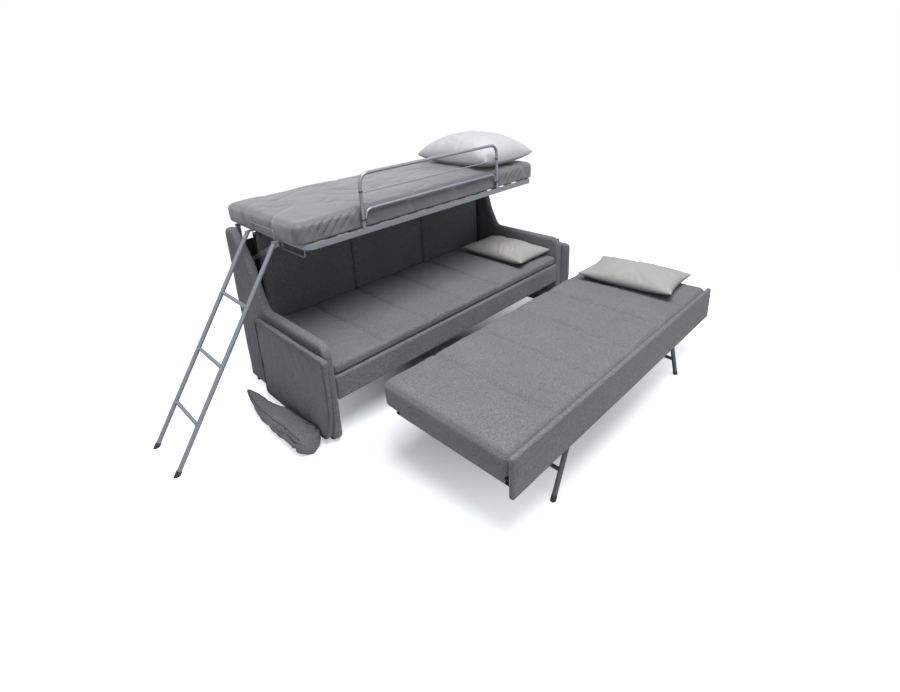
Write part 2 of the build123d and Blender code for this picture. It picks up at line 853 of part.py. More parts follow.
# Third bed: upholstered front panel, tube frame, slats and mattress
bed_x0 = left + bed_left
bed_x1 = bed_x0 + bed_length
bed_middle_x = (bed_x0 + bed_x1) / 2
bed_front = front + bed_front_y
bed_back_of_panel = bed_front + bed_panel_thickness
bed_frame_rear = front + bed_frame_rear_y
bed_tube_z = bed_frame_low + bed_tube / 2
bed_frame_x = (bed_x0 + bed_frame_inset, bed_x1 - bed_frame_inset)
block(
    "bed_front_panel",
    (bed_x0, bed_x1),
    (bed_front, bed_back_of_panel),
    (bed_panel_low, bed_panel_top),
    bed_panel_edge_radius,
)
straight_tubes(
    "bed_long_rails",
    (1, 0, 0),
    bed_frame_x[1] - bed_frame_x[0],
    (
        (bed_frame_x[0], bed_back_of_panel + bed_tube / 2, bed_tube_z),
        (bed_frame_x[0], bed_frame_rear - bed_tube / 2, bed_tube_z),
    ),
    bed_tube,
    bed_tube,
    bed_tube_wall,
)
leg_run = tan(radians(leg_splay)) * leg_pivot_z
leg_feet = (bed_x0 + leg_foot_inset, bed_x1 - leg_foot_inset)
leg_pivots = (leg_feet[0] + leg_run, leg_feet[1] - leg_run)
inside_length = bed_frame_rear - bed_back_of_panel - 2 * bed_tube
cross_places = (
    bed_frame_x[0] + bed_tube / 2,
    leg_pivots[0],
    leg_pivots[1],
    bed_frame_x[1] - bed_tube / 2,
)
straight_tubes(
    "bed_cross_rails",
    (0, 1, 0),
    inside_length,
    [(x, bed_back_of_panel + bed_tube, bed_tube_z) for x in cross_places],
    bed_tube,
    bed_tube,
    bed_tube_wall,
)
slats(
    "bed_slats",
    bed_slat_count,
    bed_frame_x,
    (bed_back_of_panel, bed_frame_rear),
    bed_frame_low + bed_tube,
)
bed_mattress_low = bed_frame_low + bed_tube + slat_thickness + rest_gap
bed_mattress = padded_form(
    Plane.XY,
    (bed_x0 + bed_mattress_end_gap, bed_x1 - bed_mattress_end_gap),
    (bed_back_of_panel + rest_gap, front + bed_mattress_rear_y),
    (bed_mattress_low, bed_mattress_top),
    bed_mattress_panels,
    bed_mattress_crown,
    bed_mattress_edge,
    bed_mattress_foot,
    mattress_draw_in,
    bed_mattress_corner,
)
write_piece(bed_mattress, "bed_mattress")

# Folding leg frames and the brackets that carry their shafts
cap_radius = leg_tube_radius + leg_cap_wall
leg_front_y = bed_back_of_panel + cap_radius + rest_gap
leg_rear_y = bed_frame_rear - bed_tube / 2
for side, foot_at, pivot_at in zip(("left", "right"), leg_feet, leg_pivots):
    reach = hypot(pivot_at - foot_at, leg_pivot_z)
    down = ((foot_at - pivot_at) / reach, 0, -leg_pivot_z / reach)
    level = (-down[2], 0, down[0])
    leg_length = reach - leg_cap_sole - leg_tube_radius / 2
    bar_share = (leg_pivot_z - leg_crossbar_z) / leg_pivot_z
    bar_x = pivot_at + bar_share * (foot_at - pivot_at)
    with BuildPart() as leg_frame:
        with BuildSketch(Plane.XZ.offset(-leg_front_y)):
            with Locations((pivot_at, leg_pivot_z)):
                Circle(leg_shaft_radius)
        extrude(amount=-(leg_rear_y - leg_front_y))
        with BuildSketch(Plane.XZ.offset(-leg_front_y)):
            with Locations((bar_x, leg_crossbar_z)):
                Circle(leg_crossbar_radius)
        extrude(amount=-(leg_rear_y - leg_front_y))
        for leg_y in (leg_front_y, leg_rear_y):
            top = Plane(origin=(pivot_at, leg_y, leg_pivot_z), x_dir=level, z_dir=down)
            with BuildSketch(top):
                Circle(leg_tube_radius)
            extrude(amount=leg_length)
            with BuildSketch(Plane.XZ.offset(-(leg_y - leg_hub_radius))):
                with Locations((pivot_at, leg_pivot_z)):
                    Circle(leg_hub_radius)
            extrude(amount=-2 * leg_hub_radius)
        for leg_y in (leg_front_y, leg_rear_y):
            top = Plane(origin=(pivot_at, leg_y, leg_pivot_z), x_dir=level, z_dir=down)
            with BuildSketch(top.offset(2 * leg_hub_radius)):
                Circle(leg_tube_radius - leg_tube_wall)
            extrude(amount=leg_length, mode=Mode.SUBTRACT)
    write_piece(leg_frame, f"leg_frame_{side}")

    with BuildPart() as leg_caps:
        for leg_y in (leg_front_y, leg_rear_y):
            top = Plane(origin=(pivot_at, leg_y, leg_pivot_z), x_dir=level, z_dir=down)
            with BuildSketch(top.offset(reach - leg_cap_height)):
                Circle(cap_radius)
            extrude(amount=leg_cap_height + leg_tube_radius)
            with BuildSketch(top.offset(reach - 2 * leg_cap_height)):
                Circle(leg_tube_radius)
            cap_bore = leg_length - reach + 2 * leg_cap_height
            extrude(amount=cap_bore, mode=Mode.SUBTRACT)
        split(bisect_by=Plane.XY, keep=Keep.TOP)
    write_piece(leg_caps, f"leg_caps_{side}")

with BuildPart() as leg_brackets:
    for pivot_at in leg_pivots:
        for bracket_y in (
            bed_back_of_panel + bed_tube + leg_bracket_inset,
            bed_frame_rear - bed_tube - leg_bracket_inset - leg_bracket_thickness,
        ):
            with BuildSketch(Plane.XZ.offset(-bracket_y)):
                with Locations((pivot_at, (leg_pivot_z + bed_frame_low) / 2)):
                    Rectangle(leg_bracket_width, bed_frame_low - leg_pivot_z)
                with Locations((pivot_at, leg_pivot_z)):
                    Circle(leg_bracket_width / 2)
                with Locations((pivot_at, bed_frame_low + leg_bracket_width / 2)):
                    Rectangle(2 * leg_bracket_width, leg_bracket_width, mode=Mode.SUBTRACT)
                with Locations((pivot_at, leg_pivot_z)):
                    Circle(leg_shaft_radius + pin_gap, mode=Mode.SUBTRACT)
            extrude(amount=-leg_bracket_thickness)
write_piece(leg_brackets, "leg_brackets")

# Arm pads: a hung upper section, its cloth flap and the lower section folded out on the floor
for on_right, side in ((False, "left"), (True, "right")):
    outer_x = right if on_right else left
    outwards = 1 if on_right else -1
    pad_u = (outwards * (front + pad_front_y), outwards * (front + pad_rear_y))
    pad_plane = Plane(
        origin=(outer_x + outwards * rest_gap, 0, 0),
        x_dir=(0, outwards, 0),
        z_dir=(outwards, 0, 0),
    )
    arm_pad = padded_form(
        pad_plane,
        sorted(pad_u),
        (pad_low, pad_top),
        (0, pad_thickness - pad_crown),
        1,
        pad_crown,
        pad_edge,
        pad_foot,
        pad_draw_in,
        pad_corner,
    )
    write_piece(arm_pad, f"arm_pad_{side}")

    flap_x = sorted((outer_x, outer_x + outwards * flap_thickness))
    flap_y = (front + flap_front_y, front + flap_rear_y)
    block(f"pad_flap_{side}", flap_x, flap_y, (pad_top + rest_gap, pad_top + flap_height))

    # The folded section swells at its front end and tapers to its rear tip
    roll_inner = outer_x + outwards * (pad_thickness - roll_settle)
    with BuildPart() as pad_roll:
        for roll_y, width, height in (
            (front + roll_front_y, roll_front_width, roll_front_height),
            (front + (roll_front_y + roll_rear_y) / 2, roll_front_width, roll_front_height),
            (front + roll_rear_y, roll_rear_width, roll_rear_height),
        ):
            roll_x = sorted((roll_inner, roll_inner + outwards * width))
            with BuildSketch(Plane.XZ.offset(-roll_y)) as section:
                with Locations(((roll_x[0] + roll_x[1]) / 2, height / 2)):
                    Rectangle(width, height)
                fillet(section.vertices(), roll_round)
        loft()
    write_piece(pad_roll, f"pad_fold_{side}")


def pillow(name, centre, size, turn):
    """A stuffed pillow: a waisted plan and two lens-shaped side views, flat where it lies."""
    length, width, height = size
    along = (-sin(radians(turn)), cos(radians(turn)), 0)
    base = Plane(origin=centre, x_dir=along, z_dir=(0, 0, 1))
    seam = pillow_seam_share * height
    views = []
    for normal, level, half, depth in (
        (-base.y_dir, base.x_dir, length / 2, width),
        (base.x_dir, base.y_dir, width / 2, length),
    ):
        sole = half - pillow_underside
        with BuildSketch(Plane(origin=base.origin - normal * depth / 2, x_dir=level, z_dir=normal)) as view:
            with BuildLine():
                ThreePointArc((-half, seam), (0, height), (half, seam))
                Polyline((half, seam), (half, seam - pillow_seam), (sole, 0), (-sole, 0))
                Polyline((-sole, 0), (-half, seam - pillow_seam), (-half, seam))
            make_face()
        views.append((view.sketch, depth))
    with BuildPart() as piece:
        with BuildSketch(base) as plan:
            u, v = (-length / 2, length / 2), (-width / 2, width / 2)
            make_face(waisted_outline(u, v, pillow_draw_in))
            fillet(plan.vertices(), pillow_corner_radius)
        extrude(amount=height)
        for view, depth in views:
            extrude(view, amount=depth, mode=Mode.INTERSECT)
    write_piece(piece, name)


pillow(
    "lower_pillow",
    (
        seat_u[1] - lower_pillow[1] / 2 - soft_gap,
        seat_v[0] + lower_pillow[0] / 2 + rail_thickness,
        seat_top + seat_crown - pillow_settle,
    ),
    lower_pillow,
    0,
)
pillow(
    "upper_pillow",
    (
        bunk_u[1] - upper_pillow[1] / 2,
        bunk_v[0] + upper_pillow[0] / 2 + soft_gap,
        bunk_mattress_top + bunk_mattress_crown - upper_pillow_settle,
    ),
    upper_pillow,
    0,
)
pillow(
    "bed_pillow",
    (
        bed_x1 - bed_pillow[1] / 2 + bed_pillow_overhang,
        bed_back_of_panel + bed_pillow[0] / 2 + bed_pillow_setback,
        bed_mattress_top + bed_mattress_crown - pillow_settle,
    ),
    bed_pillow,
    pillow_turn,
)
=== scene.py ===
"""Dresses the sofa bunk bed: upholstery, sheets, pillows, tube finishes and a white studio.

Lengths are in metres, in the frame of the CAD part: X along the sofa, Y to its rear, Z up.
"""

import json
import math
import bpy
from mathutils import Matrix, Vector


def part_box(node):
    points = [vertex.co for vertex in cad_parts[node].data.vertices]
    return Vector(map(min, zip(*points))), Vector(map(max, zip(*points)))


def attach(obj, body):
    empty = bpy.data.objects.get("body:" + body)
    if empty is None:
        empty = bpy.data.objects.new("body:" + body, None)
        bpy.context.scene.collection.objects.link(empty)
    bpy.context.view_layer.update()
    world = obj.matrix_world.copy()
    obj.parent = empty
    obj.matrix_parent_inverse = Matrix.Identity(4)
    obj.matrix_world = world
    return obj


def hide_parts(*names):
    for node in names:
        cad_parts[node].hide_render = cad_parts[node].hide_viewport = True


bl_info = {
    "name": "Sofa bunk bed dressing",
    "version": (1, 0, 0),
    "blender": (4, 5, 0),
    "location": "View3D > Sidebar > Sofa bed",
    "description": "Builds the soft surfaces, finishes and studio of a sofa that opens as a bunk bed",
    "category": "Object",
}

import bpy
import numpy as np
from bpy.props import FloatProperty, IntProperty, PointerProperty
from mathutils import Matrix, Vector

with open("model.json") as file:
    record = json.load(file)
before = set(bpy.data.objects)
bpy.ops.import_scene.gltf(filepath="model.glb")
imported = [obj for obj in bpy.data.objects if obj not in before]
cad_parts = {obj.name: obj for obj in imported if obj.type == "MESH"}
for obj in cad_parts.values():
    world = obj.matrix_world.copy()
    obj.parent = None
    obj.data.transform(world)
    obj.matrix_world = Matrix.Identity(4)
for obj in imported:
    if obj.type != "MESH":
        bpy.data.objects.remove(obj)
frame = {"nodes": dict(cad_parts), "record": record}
FINISHES = {}


# Surfaces


def spread(low, high, radius, step, rounds=4):
    """Places from low to high: radius * tan(angle) apart over each rounded end, about step between."""
    bend = radius * np.tan(np.linspace(0.0, math.pi / 4, rounds + 1))
    count = max(2, int(round((high - low - 2 * radius) / step)) + 1)
    flat = np.linspace(low + radius, high - radius, count)
    return np.concatenate([low + radius - bend[:0:-1], flat, high - radius + bend[1:]])


def cells(index):
    """The corners of every cell of a grid of point numbers, in turn round each cell."""
    corner = index[:-1, :-1], index[1:, :-1], index[1:, 1:], index[:-1, 1:]
    return np.stack([part.ravel() for part in corner], 1)


def closed_round(index):
    """A grid of point numbers with its first column again after its last."""
    return np.hstack([index, index[:, :1]])


def rounded_box(low, high, radius, step):
    """Points, normals and faces of a box with edges rounded to radius.

    A point p of the box's six gridded faces moves to q + radius * (p - q) / |p - q|, where q is p
    held inside the box that is smaller by radius on every side.
    """
    low, high = np.array(low, float), np.array(high, float)
    lines = [spread(low[i], high[i], radius, step) for i in range(3)]
    points, faces, first = [], [], 0
    for axis in range(3):
        a, b = (axis + 1) % 3, (axis + 2) % 3
        grid_a, grid_b = np.meshgrid(lines[a], lines[b], indexing="ij")
        corner = cells(np.arange(grid_a.size).reshape(grid_a.shape))
        for level, order in ((high[axis], (0, 1, 2, 3)), (low[axis], (0, 3, 2, 1))):
            side = np.empty((grid_a.size, 3))
            side[:, a], side[:, b], side[:, axis] = grid_a.ravel(), grid_b.ravel(), level
            points.append(side)
            faces.append(corner[:, order] + first)
            first += grid_a.size
    points, faces = np.concatenate(points), np.concatenate(faces)
    _, keep, same = np.unique(np.round(points, 6), axis=0, return_index=True, return_inverse=True)
    points, faces = points[keep], same.reshape(-1)[faces]
    held = np.clip(points, low + radius, high - radius)
    normal = points - held
    normal /= np.linalg.norm(normal, axis=1)[:, None]
    return held + radius * normal, normal, faces


def ripple(points, seed, length, stretch=(1.0, 1.0, 1.0)):
    """Smooth noise between about -1 and 1: a sum of sines of length, each bent by the one before it."""
    octaves, quicker, carried, weaker, height = 5, 0.45, 1.3, 0.6, 2.4
    rng = np.random.default_rng(seed)
    scaled = points / np.array(stretch)
    total, bend = np.zeros(len(points)), 0.0
    for octave in range(octaves):
        way = rng.normal(size=3)
        way /= np.linalg.norm(way)
        wave = 2 * math.pi * (1 + quicker * octave) / length
        bend = np.sin(scaled @ way * wave + rng.uniform(0, 2 * math.pi) + carried * bend)
        total += bend / (1 + weaker * octave)
    return total / height


def rippled(height, seed, length):
    """A shape that moves points along their normals by height * ripple."""

    def shape(points, normal, share):
        return points + normal * (height * ripple(points, seed, length))[:, None]

    return shape


def creases(points, seed, length, stretch=(1.0, 1.0, 1.0), sharp=5.0):
    """Narrow valleys between broad folds: -exp(-sharp * |ripple|)."""
    return -np.exp(-sharp * np.abs(ripple(points, seed, length, stretch)))


def valley(place, centre, width):
    """A smooth groove across one coordinate: exp(-((place - centre) / width) ** 2)."""
    return np.exp(-(((place - centre) / width) ** 2))


def crown(share_a, share_b, power=2.0):
    """A dome over two shares from 0 to 1: (1 - |2a - 1| ** power) * (1 - |2b - 1| ** power)."""
    dome_a = 1 - np.abs(2 * np.clip(share_a, 0, 1) - 1) ** power
    return dome_a * (1 - np.abs(2 * np.clip(share_b, 0, 1) - 1) ** power)


def smooth_piece(name, points, faces, material):
    """A smooth mesh object at the origin; faces is a list."""
    mesh = bpy.data.meshes.new(name)
    mesh.from_pydata(points.tolist(), [], faces)
    mesh.polygons.foreach_set("use_smooth", np.ones(len(mesh.polygons), bool))
    mesh.update()
    piece = bpy.data.objects.new(name, mesh)
    bpy.context.scene.collection.objects.link(piece)
    piece.data.materials.append(material)
    return piece


def build(name, points, faces, body, material):
    """A smooth mesh object that rides on one body of the frame."""
    piece = smooth_piece(name, points, faces.tolist(), material)
    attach(piece, body)
    return piece


def turn_outwards(mesh):
    """Flips every face of a closed mesh whose signed volume is below zero."""
    mesh.calc_loop_triangles()
    points = np.empty(len(mesh.vertices) * 3)
    mesh.vertices.foreach_get("co", points)
    corner = np.empty(len(mesh.loop_triangles) * 3, np.int32)
    mesh.loop_triangles.foreach_get("vertices", corner)
    a, b, c = points.reshape(-1, 3)[corner.reshape(-1, 3)].transpose(1, 0, 2)
    if np.einsum("ij,ij->i", a, np.cross(b, c)).sum() < 0:
        mesh.flip_normals()


def joined(*surfaces):
    """Several (points, faces) surfaces as one."""
    points, faces, first = [], [], 0
    for some_points, some_faces in surfaces:
        points.append(some_points)
        faces.append(some_faces + first)
        first += len(some_points)
    return np.concatenate(points), np.concatenate(faces)


def tube(path, radius, sides=10, closed=True):
    """A round tube along a nearly flat path: centre(t) + radius * (cos(a) * side(t) + sin(a) * up(t)).

    The side direction is square to the path and to the normal of the path's own plane.
    """
    path = np.asarray(path, float)
    ahead = np.roll(path, -1, 0) - np.roll(path, 1, 0)
    if not closed:
        ahead[0], ahead[-1] = path[1] - path[0], path[-1] - path[-2]
    ahead /= np.linalg.norm(ahead, axis=1)[:, None]
    plane_normal = np.linalg.svd(path - path.mean(0))[2][2]
    side = np.cross(ahead, plane_normal)
    side /= np.linalg.norm(side, axis=1)[:, None]
    up = np.cross(side, ahead)
    angle = np.linspace(0, 2 * math.pi, sides, endpoint=False)
    ring = np.cos(angle)[None, :, None] * side[:, None] + np.sin(angle)[None, :, None] * up[:, None]
    points = (path[:, None] + radius * ring).reshape(-1, 3)
    index = np.arange(len(points)).reshape(len(path), sides)
    if closed:
        index = np.vstack([index, index[:1]])
    return points, cells(closed_round(index))


def rounded_loop(low, high, radius, count=12, spacing=0.025):
    """Points of a rectangle in a plane: count on each rounded corner, about spacing apart between."""
    near, far = (low[0] + radius, low[1] + radius), (high[0] - radius, high[1] - radius)
    points = []
    for number, centre in enumerate((far, (near[0], far[1]), near, (far[0], near[1]))):
        angle = np.radians(np.linspace(90 * number, 90 * number + 90, count))
        points.append(np.array(centre) + radius * np.stack([np.cos(angle), np.sin(angle)], 1))
    points = np.concatenate(points)
    ends = np.roll(points, -1, 0)
    rows = []
    for start, end, reach in zip(points, ends, np.linalg.norm(ends - points, axis=1)):
        share = np.linspace(0, 1, max(1, int(reach / spacing)), endpoint=False)[:, None]
        rows.append(start + share * (end - start))
    return np.concatenate(rows)


def settle(points, level, depth):
    """Presses what lies under a level flat on it, with a soft turn over depth."""
    below = points[:, 2] < level + depth
    lift = points[:, 2] - level
    points[:, 2] = np.where(below, level + depth * np.exp(np.minimum(lift / depth - 1, 0)), points[:, 2])
    return points


def square_foot(points, normal, radius, power=0.45):
    """Squares the lower rounded edges: the level and down parts of a normal become their power."""
    least = 1e-6
    lower = normal[:, 2] < 0
    level = np.maximum(np.hypot(normal[:, 0], normal[:, 1]), least)
    down = np.clip(-normal[:, 2], 0, 1)
    reach = np.where(lower & (level > 10 * least), radius * (level**power - level) / level, 0)
    points[:, :2] += reach[:, None] * normal[:, :2]
    points[:, 2] -= np.where(lower, radius * (down**power - down), 0)
    return points


def hold_under(heights, limit, soft=0.012):
    """Heights bent over near a limit: limit - soft + soft * tanh(excess / soft)."""
    excess = np.maximum(heights - (limit - soft), 0)
    return np.minimum(heights, limit - soft) + soft * np.tanh(excess / soft)


def end_faces(normal):
    """1 on the faces that look along X, fading to 0 over their rounded edges."""
    return np.clip(np.abs(normal[:, 0]) * 2 - 0.6, 0, 1)


# Materials


def linear(code):
    """An sRGB hex colour as linear red, green, blue and alpha, by the two parts of the sRGB curve."""
    parts = [int(code[i : i + 2], 16) / 255 for i in (1, 3, 5)]
    light = [c / 12.92 if c <= 0.04045 else ((c + 0.055) / 1.055) ** 2.4 for c in parts]
    return (*light, 1.0)


def add_node(tree, kind, inputs=None, **settings):
    """Adds a shader node; inputs maps sockets' names or numbers to values or other nodes' outputs."""
    node = tree.nodes.new("ShaderNode" + kind)
    for key, value in settings.items():
        setattr(node, key, value)
    for key, value in (inputs or {}).items():
        if isinstance(value, bpy.types.NodeSocket):
            tree.links.new(value, node.inputs[key])
        else:
            node.inputs[key].default_value = value
    return node


def new_material(name):
    """An empty material with its shader and output; returns the material, its tree and its shader."""
    material = bpy.data.materials.new(name)
    material.use_nodes = True
    tree = material.node_tree
    tree.nodes.clear()
    shader = add_node(tree, "BsdfPrincipled")
    add_node(tree, "OutputMaterial", {"Surface": shader.outputs["BSDF"]})
    return material, tree, shader


def cloth(name, dark, light, thread, grain, sheen, relief, roughness=0.88):
    """Cloth whose threads of two colours mix at thread millimetres, with broad tones and a fine relief."""
    material, tree, shader = new_material(name)
    place = add_node(tree, "TexCoord").outputs["Object"]
    slub_length = 1.5 * thread
    fine = add_node(
        tree, "TexNoise", {"Vector": place, "Scale": 1000 / thread, "Detail": 3.0, "Roughness": 0.7}
    )
    drawn = add_node(tree, "Mapping", {"Vector": place, "Scale": (0.5, 1.0, 1.0)})
    slub = add_node(
        tree, "TexNoise", {"Vector": drawn.outputs[0], "Scale": 1000 / slub_length, "Detail": 2.0}
    )
    broad = add_node(tree, "TexNoise", {"Vector": place, "Scale": 3.0, "Detail": 2.0})
    mixed = add_node(tree, "Math", {0: fine.outputs[0], 1: slub.outputs[0]}, operation="ADD")
    level = add_node(
        tree, "MapRange",
        {"Value": mixed.outputs[0], "From Min": 1.0 - grain, "From Max": 1.0 + grain},
    )
    threads = {0: level.outputs[0], 6: linear(dark), 7: linear(light)}
    tone = add_node(tree, "Mix", threads, data_type="RGBA")
    fade = add_node(
        tree, "MapRange",
        {"Value": broad.outputs[0], "From Min": 0.3, "From Max": 0.7, "To Min": 0.92, "To Max": 1.06},
    )
    shade = add_node(tree, "HueSaturation", {"Color": tone.outputs[2], "Value": fade.outputs[0]})
    bump = add_node(
        tree, "Bump",
        {"Height": mixed.outputs[0], "Strength": relief, "Distance": 0.001 * thread / 2},
    )
    tree.links.new(shade.outputs[0], shader.inputs["Base Color"])
    tree.links.new(bump.outputs[0], shader.inputs["Normal"])
    shader.inputs["Roughness"].default_value = roughness
    shader.inputs["Sheen Weight"].default_value = sheen
    shader.inputs["Sheen Roughness"].default_value = 0.45
    shader.inputs["Specular IOR Level"].default_value = 0.25
    return material


def coated(name, colour, metallic, roughness, spot=0.03):
    """Paint or moulded surface whose gloss and height waver over about 2.4 mm."""
    material, tree, shader = new_material(name)
    place = add_node(tree, "TexCoord").outputs["Object"]
    noise = add_node(tree, "TexNoise", {"Vector": place, "Scale": 420.0, "Detail": 3.0})
    gloss = add_node(
        tree, "MapRange",
        {"Value": noise.outputs[0], "To Min": roughness - spot, "To Max": roughness + 2 * spot},
    )
    bump = add_node(tree, "Bump", {"Height": noise.outputs[0], "Strength": 0.05, "Distance": 0.0005})
    shader.inputs["Base Color"].default_value = linear(colour)
    shader.inputs["Metallic"].default_value = metallic
    tree.links.new(gloss.outputs[0], shader.inputs["Roughness"])
    tree.links.new(bump.outputs[0], shader.inputs["Normal"])
    return material


def timber(name, dark, light):
    """Plywood with long grain along Y: streaks about 8 mm wide and 170 mm long."""
    material, tree, shader = new_material(name)
    place = add_node(tree, "TexCoord").outputs["Object"]
    along = add_node(tree, "Mapping", {"Vector": place, "Scale": (60.0, 3.0, 60.0)})
    grain = add_node(tree, "TexNoise", {"Vector": along.outputs[0], "Scale": 2.0, "Detail": 4.0})
    colours = {0: grain.outputs[0], 6: linear(dark), 7: linear(light)}
    tone = add_node(tree, "Mix", colours, data_type="RGBA")
    tree.links.new(tone.outputs[2], shader.inputs["Base Color"])
    shader.inputs["Roughness"].default_value = 0.55
    return material


def make_materials():
    """Every finish of the record, by its slot's name, and the welts' cloth, darkened with painted shade of
    the seams.

    Threads are drawn coarser than real ones, so that they show.
    """
    return {
        # Dark and light yarns show as a fine matt speckle of two greys
        "upholstery": cloth("Melange polyester, plain woven", "#36373a", "#808184", 2.8, 0.46, 0.15, 0.4),
        # Floating threads make it smoother and glossier than the other cloths
        "sheet": cloth("Cotton satin, fine woven", "#4b4c50", "#67686c", 1.4, 0.6, 0.6, 0.15, 0.5),
        # Close matt cloth, nearly even in colour
        "pillow_white": cloth("Cotton percale, bleached", "#9b9c9f", "#b1b2b4", 1.2, 0.5, 0.1, 0.15),
        # The same cloth in a warm grey
        "pillow_grey": cloth("Cotton percale, dyed", "#858483", "#9c9b99", 1.2, 0.5, 0.1, 0.15),
        # Powder coat has a soft gloss; the metallic share stands for its silvery pigment
        "tube_grey": coated("Steel tube, grey powder coat", "#7c8189", 0.35, 0.34),
        # A darker and duller coat
        "tube_dark": coated("Steel tube, dark powder coat", "#55595d", 0.3, 0.42),
        # Bare turned steel, bright and fairly sharp in its reflections
        "pin_steel": coated("Mild steel, turned", "#a8a8a8", 1.0, 0.3),
        # Moulded foot caps, nearly black and dull
        "rubber_black": coated("Rubber, moulded", "#2a2b2c", 0.0, 0.6),
        # Moulded joints, as dark but a little glossier
        "joint_black": coated("Nylon, injection moulded", "#242526", 0.0, 0.5),
        # Sprung slats with a grey-brown grain along their length
        "slat_wood": timber("Beech plywood, press bent", "#6f5f4b", "#93826a"),
        # The lining hides the wood, so the board looks black and matt
        "board_wood": coated("Board under black lining cloth, stapled", "#232425", 0.0, 0.85),
        # The upholstery's cloth cut on the bias, its darker greys painted shade of the seams that the welts
        # sit in
        "welt": cloth("Melange polyester, bias cut", "#2a2b2d", "#5c5d5f", 2.4, 0.42, 0.2, 0.3),
    }


# Settings


class PaddingSettings(bpy.types.PropertyGroup):
    """Sizes of the upholstered and sheeted surfaces"""

    step: FloatProperty(
        name="Mesh step", description="Distance between points on a padded surface", default=0.011,
        min=0.004, unit="LENGTH",
    )
    channel_depth: FloatProperty(
        name="Channel depth", description="How far each sewn cross channel lies below the mattress top",
        default=0.013, unit="LENGTH",
    )
    channel_width: FloatProperty(
        name="Channel half width", description="Distance from a channel's stitching to its shoulder",
        default=0.011, unit="LENGTH",
    )
    fold_height: FloatProperty(
        name="Fold height", description="Height of the soft folds in the cloth", default=0.004,
        unit="LENGTH",
    )
    hook_half: FloatProperty(
        name="Hook half width",
        description="Half the width of a ladder hook that the upper mattress lies over", default=0.013,
        unit="LENGTH",
    )
    cushion_crown: FloatProperty(
        name="Cushion crown", description="How far a back cushion swells at its middle", default=0.012,
        unit="LENGTH",
    )


class PillowSettings(bpy.types.PropertyGroup):
    """Shape of the three pillows"""

    draw_in: FloatProperty(
        name="Draw-in", description="How far each side lies inside the line between its corners",
        default=0.026, unit="LENGTH",
    )
    rings: IntProperty(
        name="Grid count", description="Grid points along a pillow's length", default=120, min=20,
    )
    crease_depth: FloatProperty(
        name="Crease depth", description="Depth of the creases that run in from the seam", default=0.008,
        unit="LENGTH",
    )


class StudioSettings(bpy.types.PropertyGroup):
    """Light of the white studio"""

    key_power: FloatProperty(
        name="Key light", description="Power of the large light above the front", default=360.0,
        unit="POWER",
    )
    fill_power: FloatProperty(
        name="Fill lights",
        description="Power of the light on the ladder's side and of the one at the rear", default=12.0,
        unit="POWER",
    )
    sky: FloatProperty(name="Sky", description="Strength of the even light from all round", default=0.4)
    floor_reach: FloatProperty(
        name="Floor reach",
        description="Distance from the sofa at which the floor begins to fade into the white around it",
        default=1.9, unit="LENGTH",
    )
    floor_glow: FloatProperty(
        name="Floor glow",
        description="Brightness that the camera sees the floor add away from the sofa, towards white",
        default=0.75,
    )


# Pieces


class PieceOperator:
    """What every operator of this add-on shares"""

    bl_options = {"REGISTER", "UNDO"}

    def padded_block(self, name, low, high, radius, body, material, shape, *nodes, fill=0.9):
        """A rounded box moved along its normals by shape(points, normals, shares)."""
        padding = bpy.context.scene.sofa_padding
        points, normal, faces = rounded_box(low, high, radius, padding.step)
        low, high = np.array(low, float), np.array(high, float)
        share = (points - low) / (high - low)
        points = shape(points, normal, share)
        piece = build(name, points, faces, body, self.finishes()[material])
        if nodes:
            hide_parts(*nodes)
        return piece

    @staticmethod
    def finishes():
        """The materials, made once for each run."""
        if not FINISHES:
            FINISHES.update(make_materials())
        return FINISHES


def side_profile(count=420):
    """The outline of a side panel in Y and Z: straight runs between corners rounded by arcs."""
    low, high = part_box("side_panel_left")
    arm_top, arm_end = 0.600, 0.575
    neck, knee = (0.640, 0.725), (0.692, 0.885)
    crest_front, crest_rear = 0.840, 0.924
    longest_share, arc_points = 0.45, 14
    # Y, Z and radius of each corner, from the front foot over arm and wing to the rear foot
    corners = (
        (low[1], low[2], 0.022),
        (low[1], arm_top, 0.075),
        (arm_end, arm_top, 0.055),
        (*neck, 0.160),
        (*knee, 0.160),
        (crest_front, high[2], 0.034),
        (crest_rear, high[2], 0.034),
        (high[1], low[2], 0.012),
    )
    place = np.array([c[:2] for c in corners])
    outline = []
    for i, (_, _, radius) in enumerate(corners):
        here, before, after = place[i], place[i - 1], place[(i + 1) % len(place)]
        run_in, run_out = np.linalg.norm(before - here), np.linalg.norm(after - here)
        back, on = (before - here) / run_in, (after - here) / run_out
        half = math.acos(np.clip(back @ on, -1, 1)) / 2
        reach = min(radius / math.tan(half), longest_share * run_in, longest_share * run_out)
        middle = (back + on) / np.linalg.norm(back + on)
        round_radius = reach * math.tan(half)
        centre = here + middle * round_radius / math.sin(half)
        first, last = here + back * reach - centre, here + on * reach - centre
        turn = np.linspace(0, 1, arc_points)[:, None]
        ray = first * (1 - turn) + last * turn
        outline.append(centre + round_radius * ray / np.linalg.norm(ray, axis=1)[:, None])
    outline = np.concatenate(outline)
    outline = np.vstack([outline, outline[:1]])
    along = np.concatenate([[0], np.cumsum(np.linalg.norm(np.diff(outline, axis=0), axis=1))])
    at = np.linspace(0, along[-1], count, endpoint=False)
    return np.stack([np.interp(at, along, outline[:, k]) for k in (0, 1)], 1)


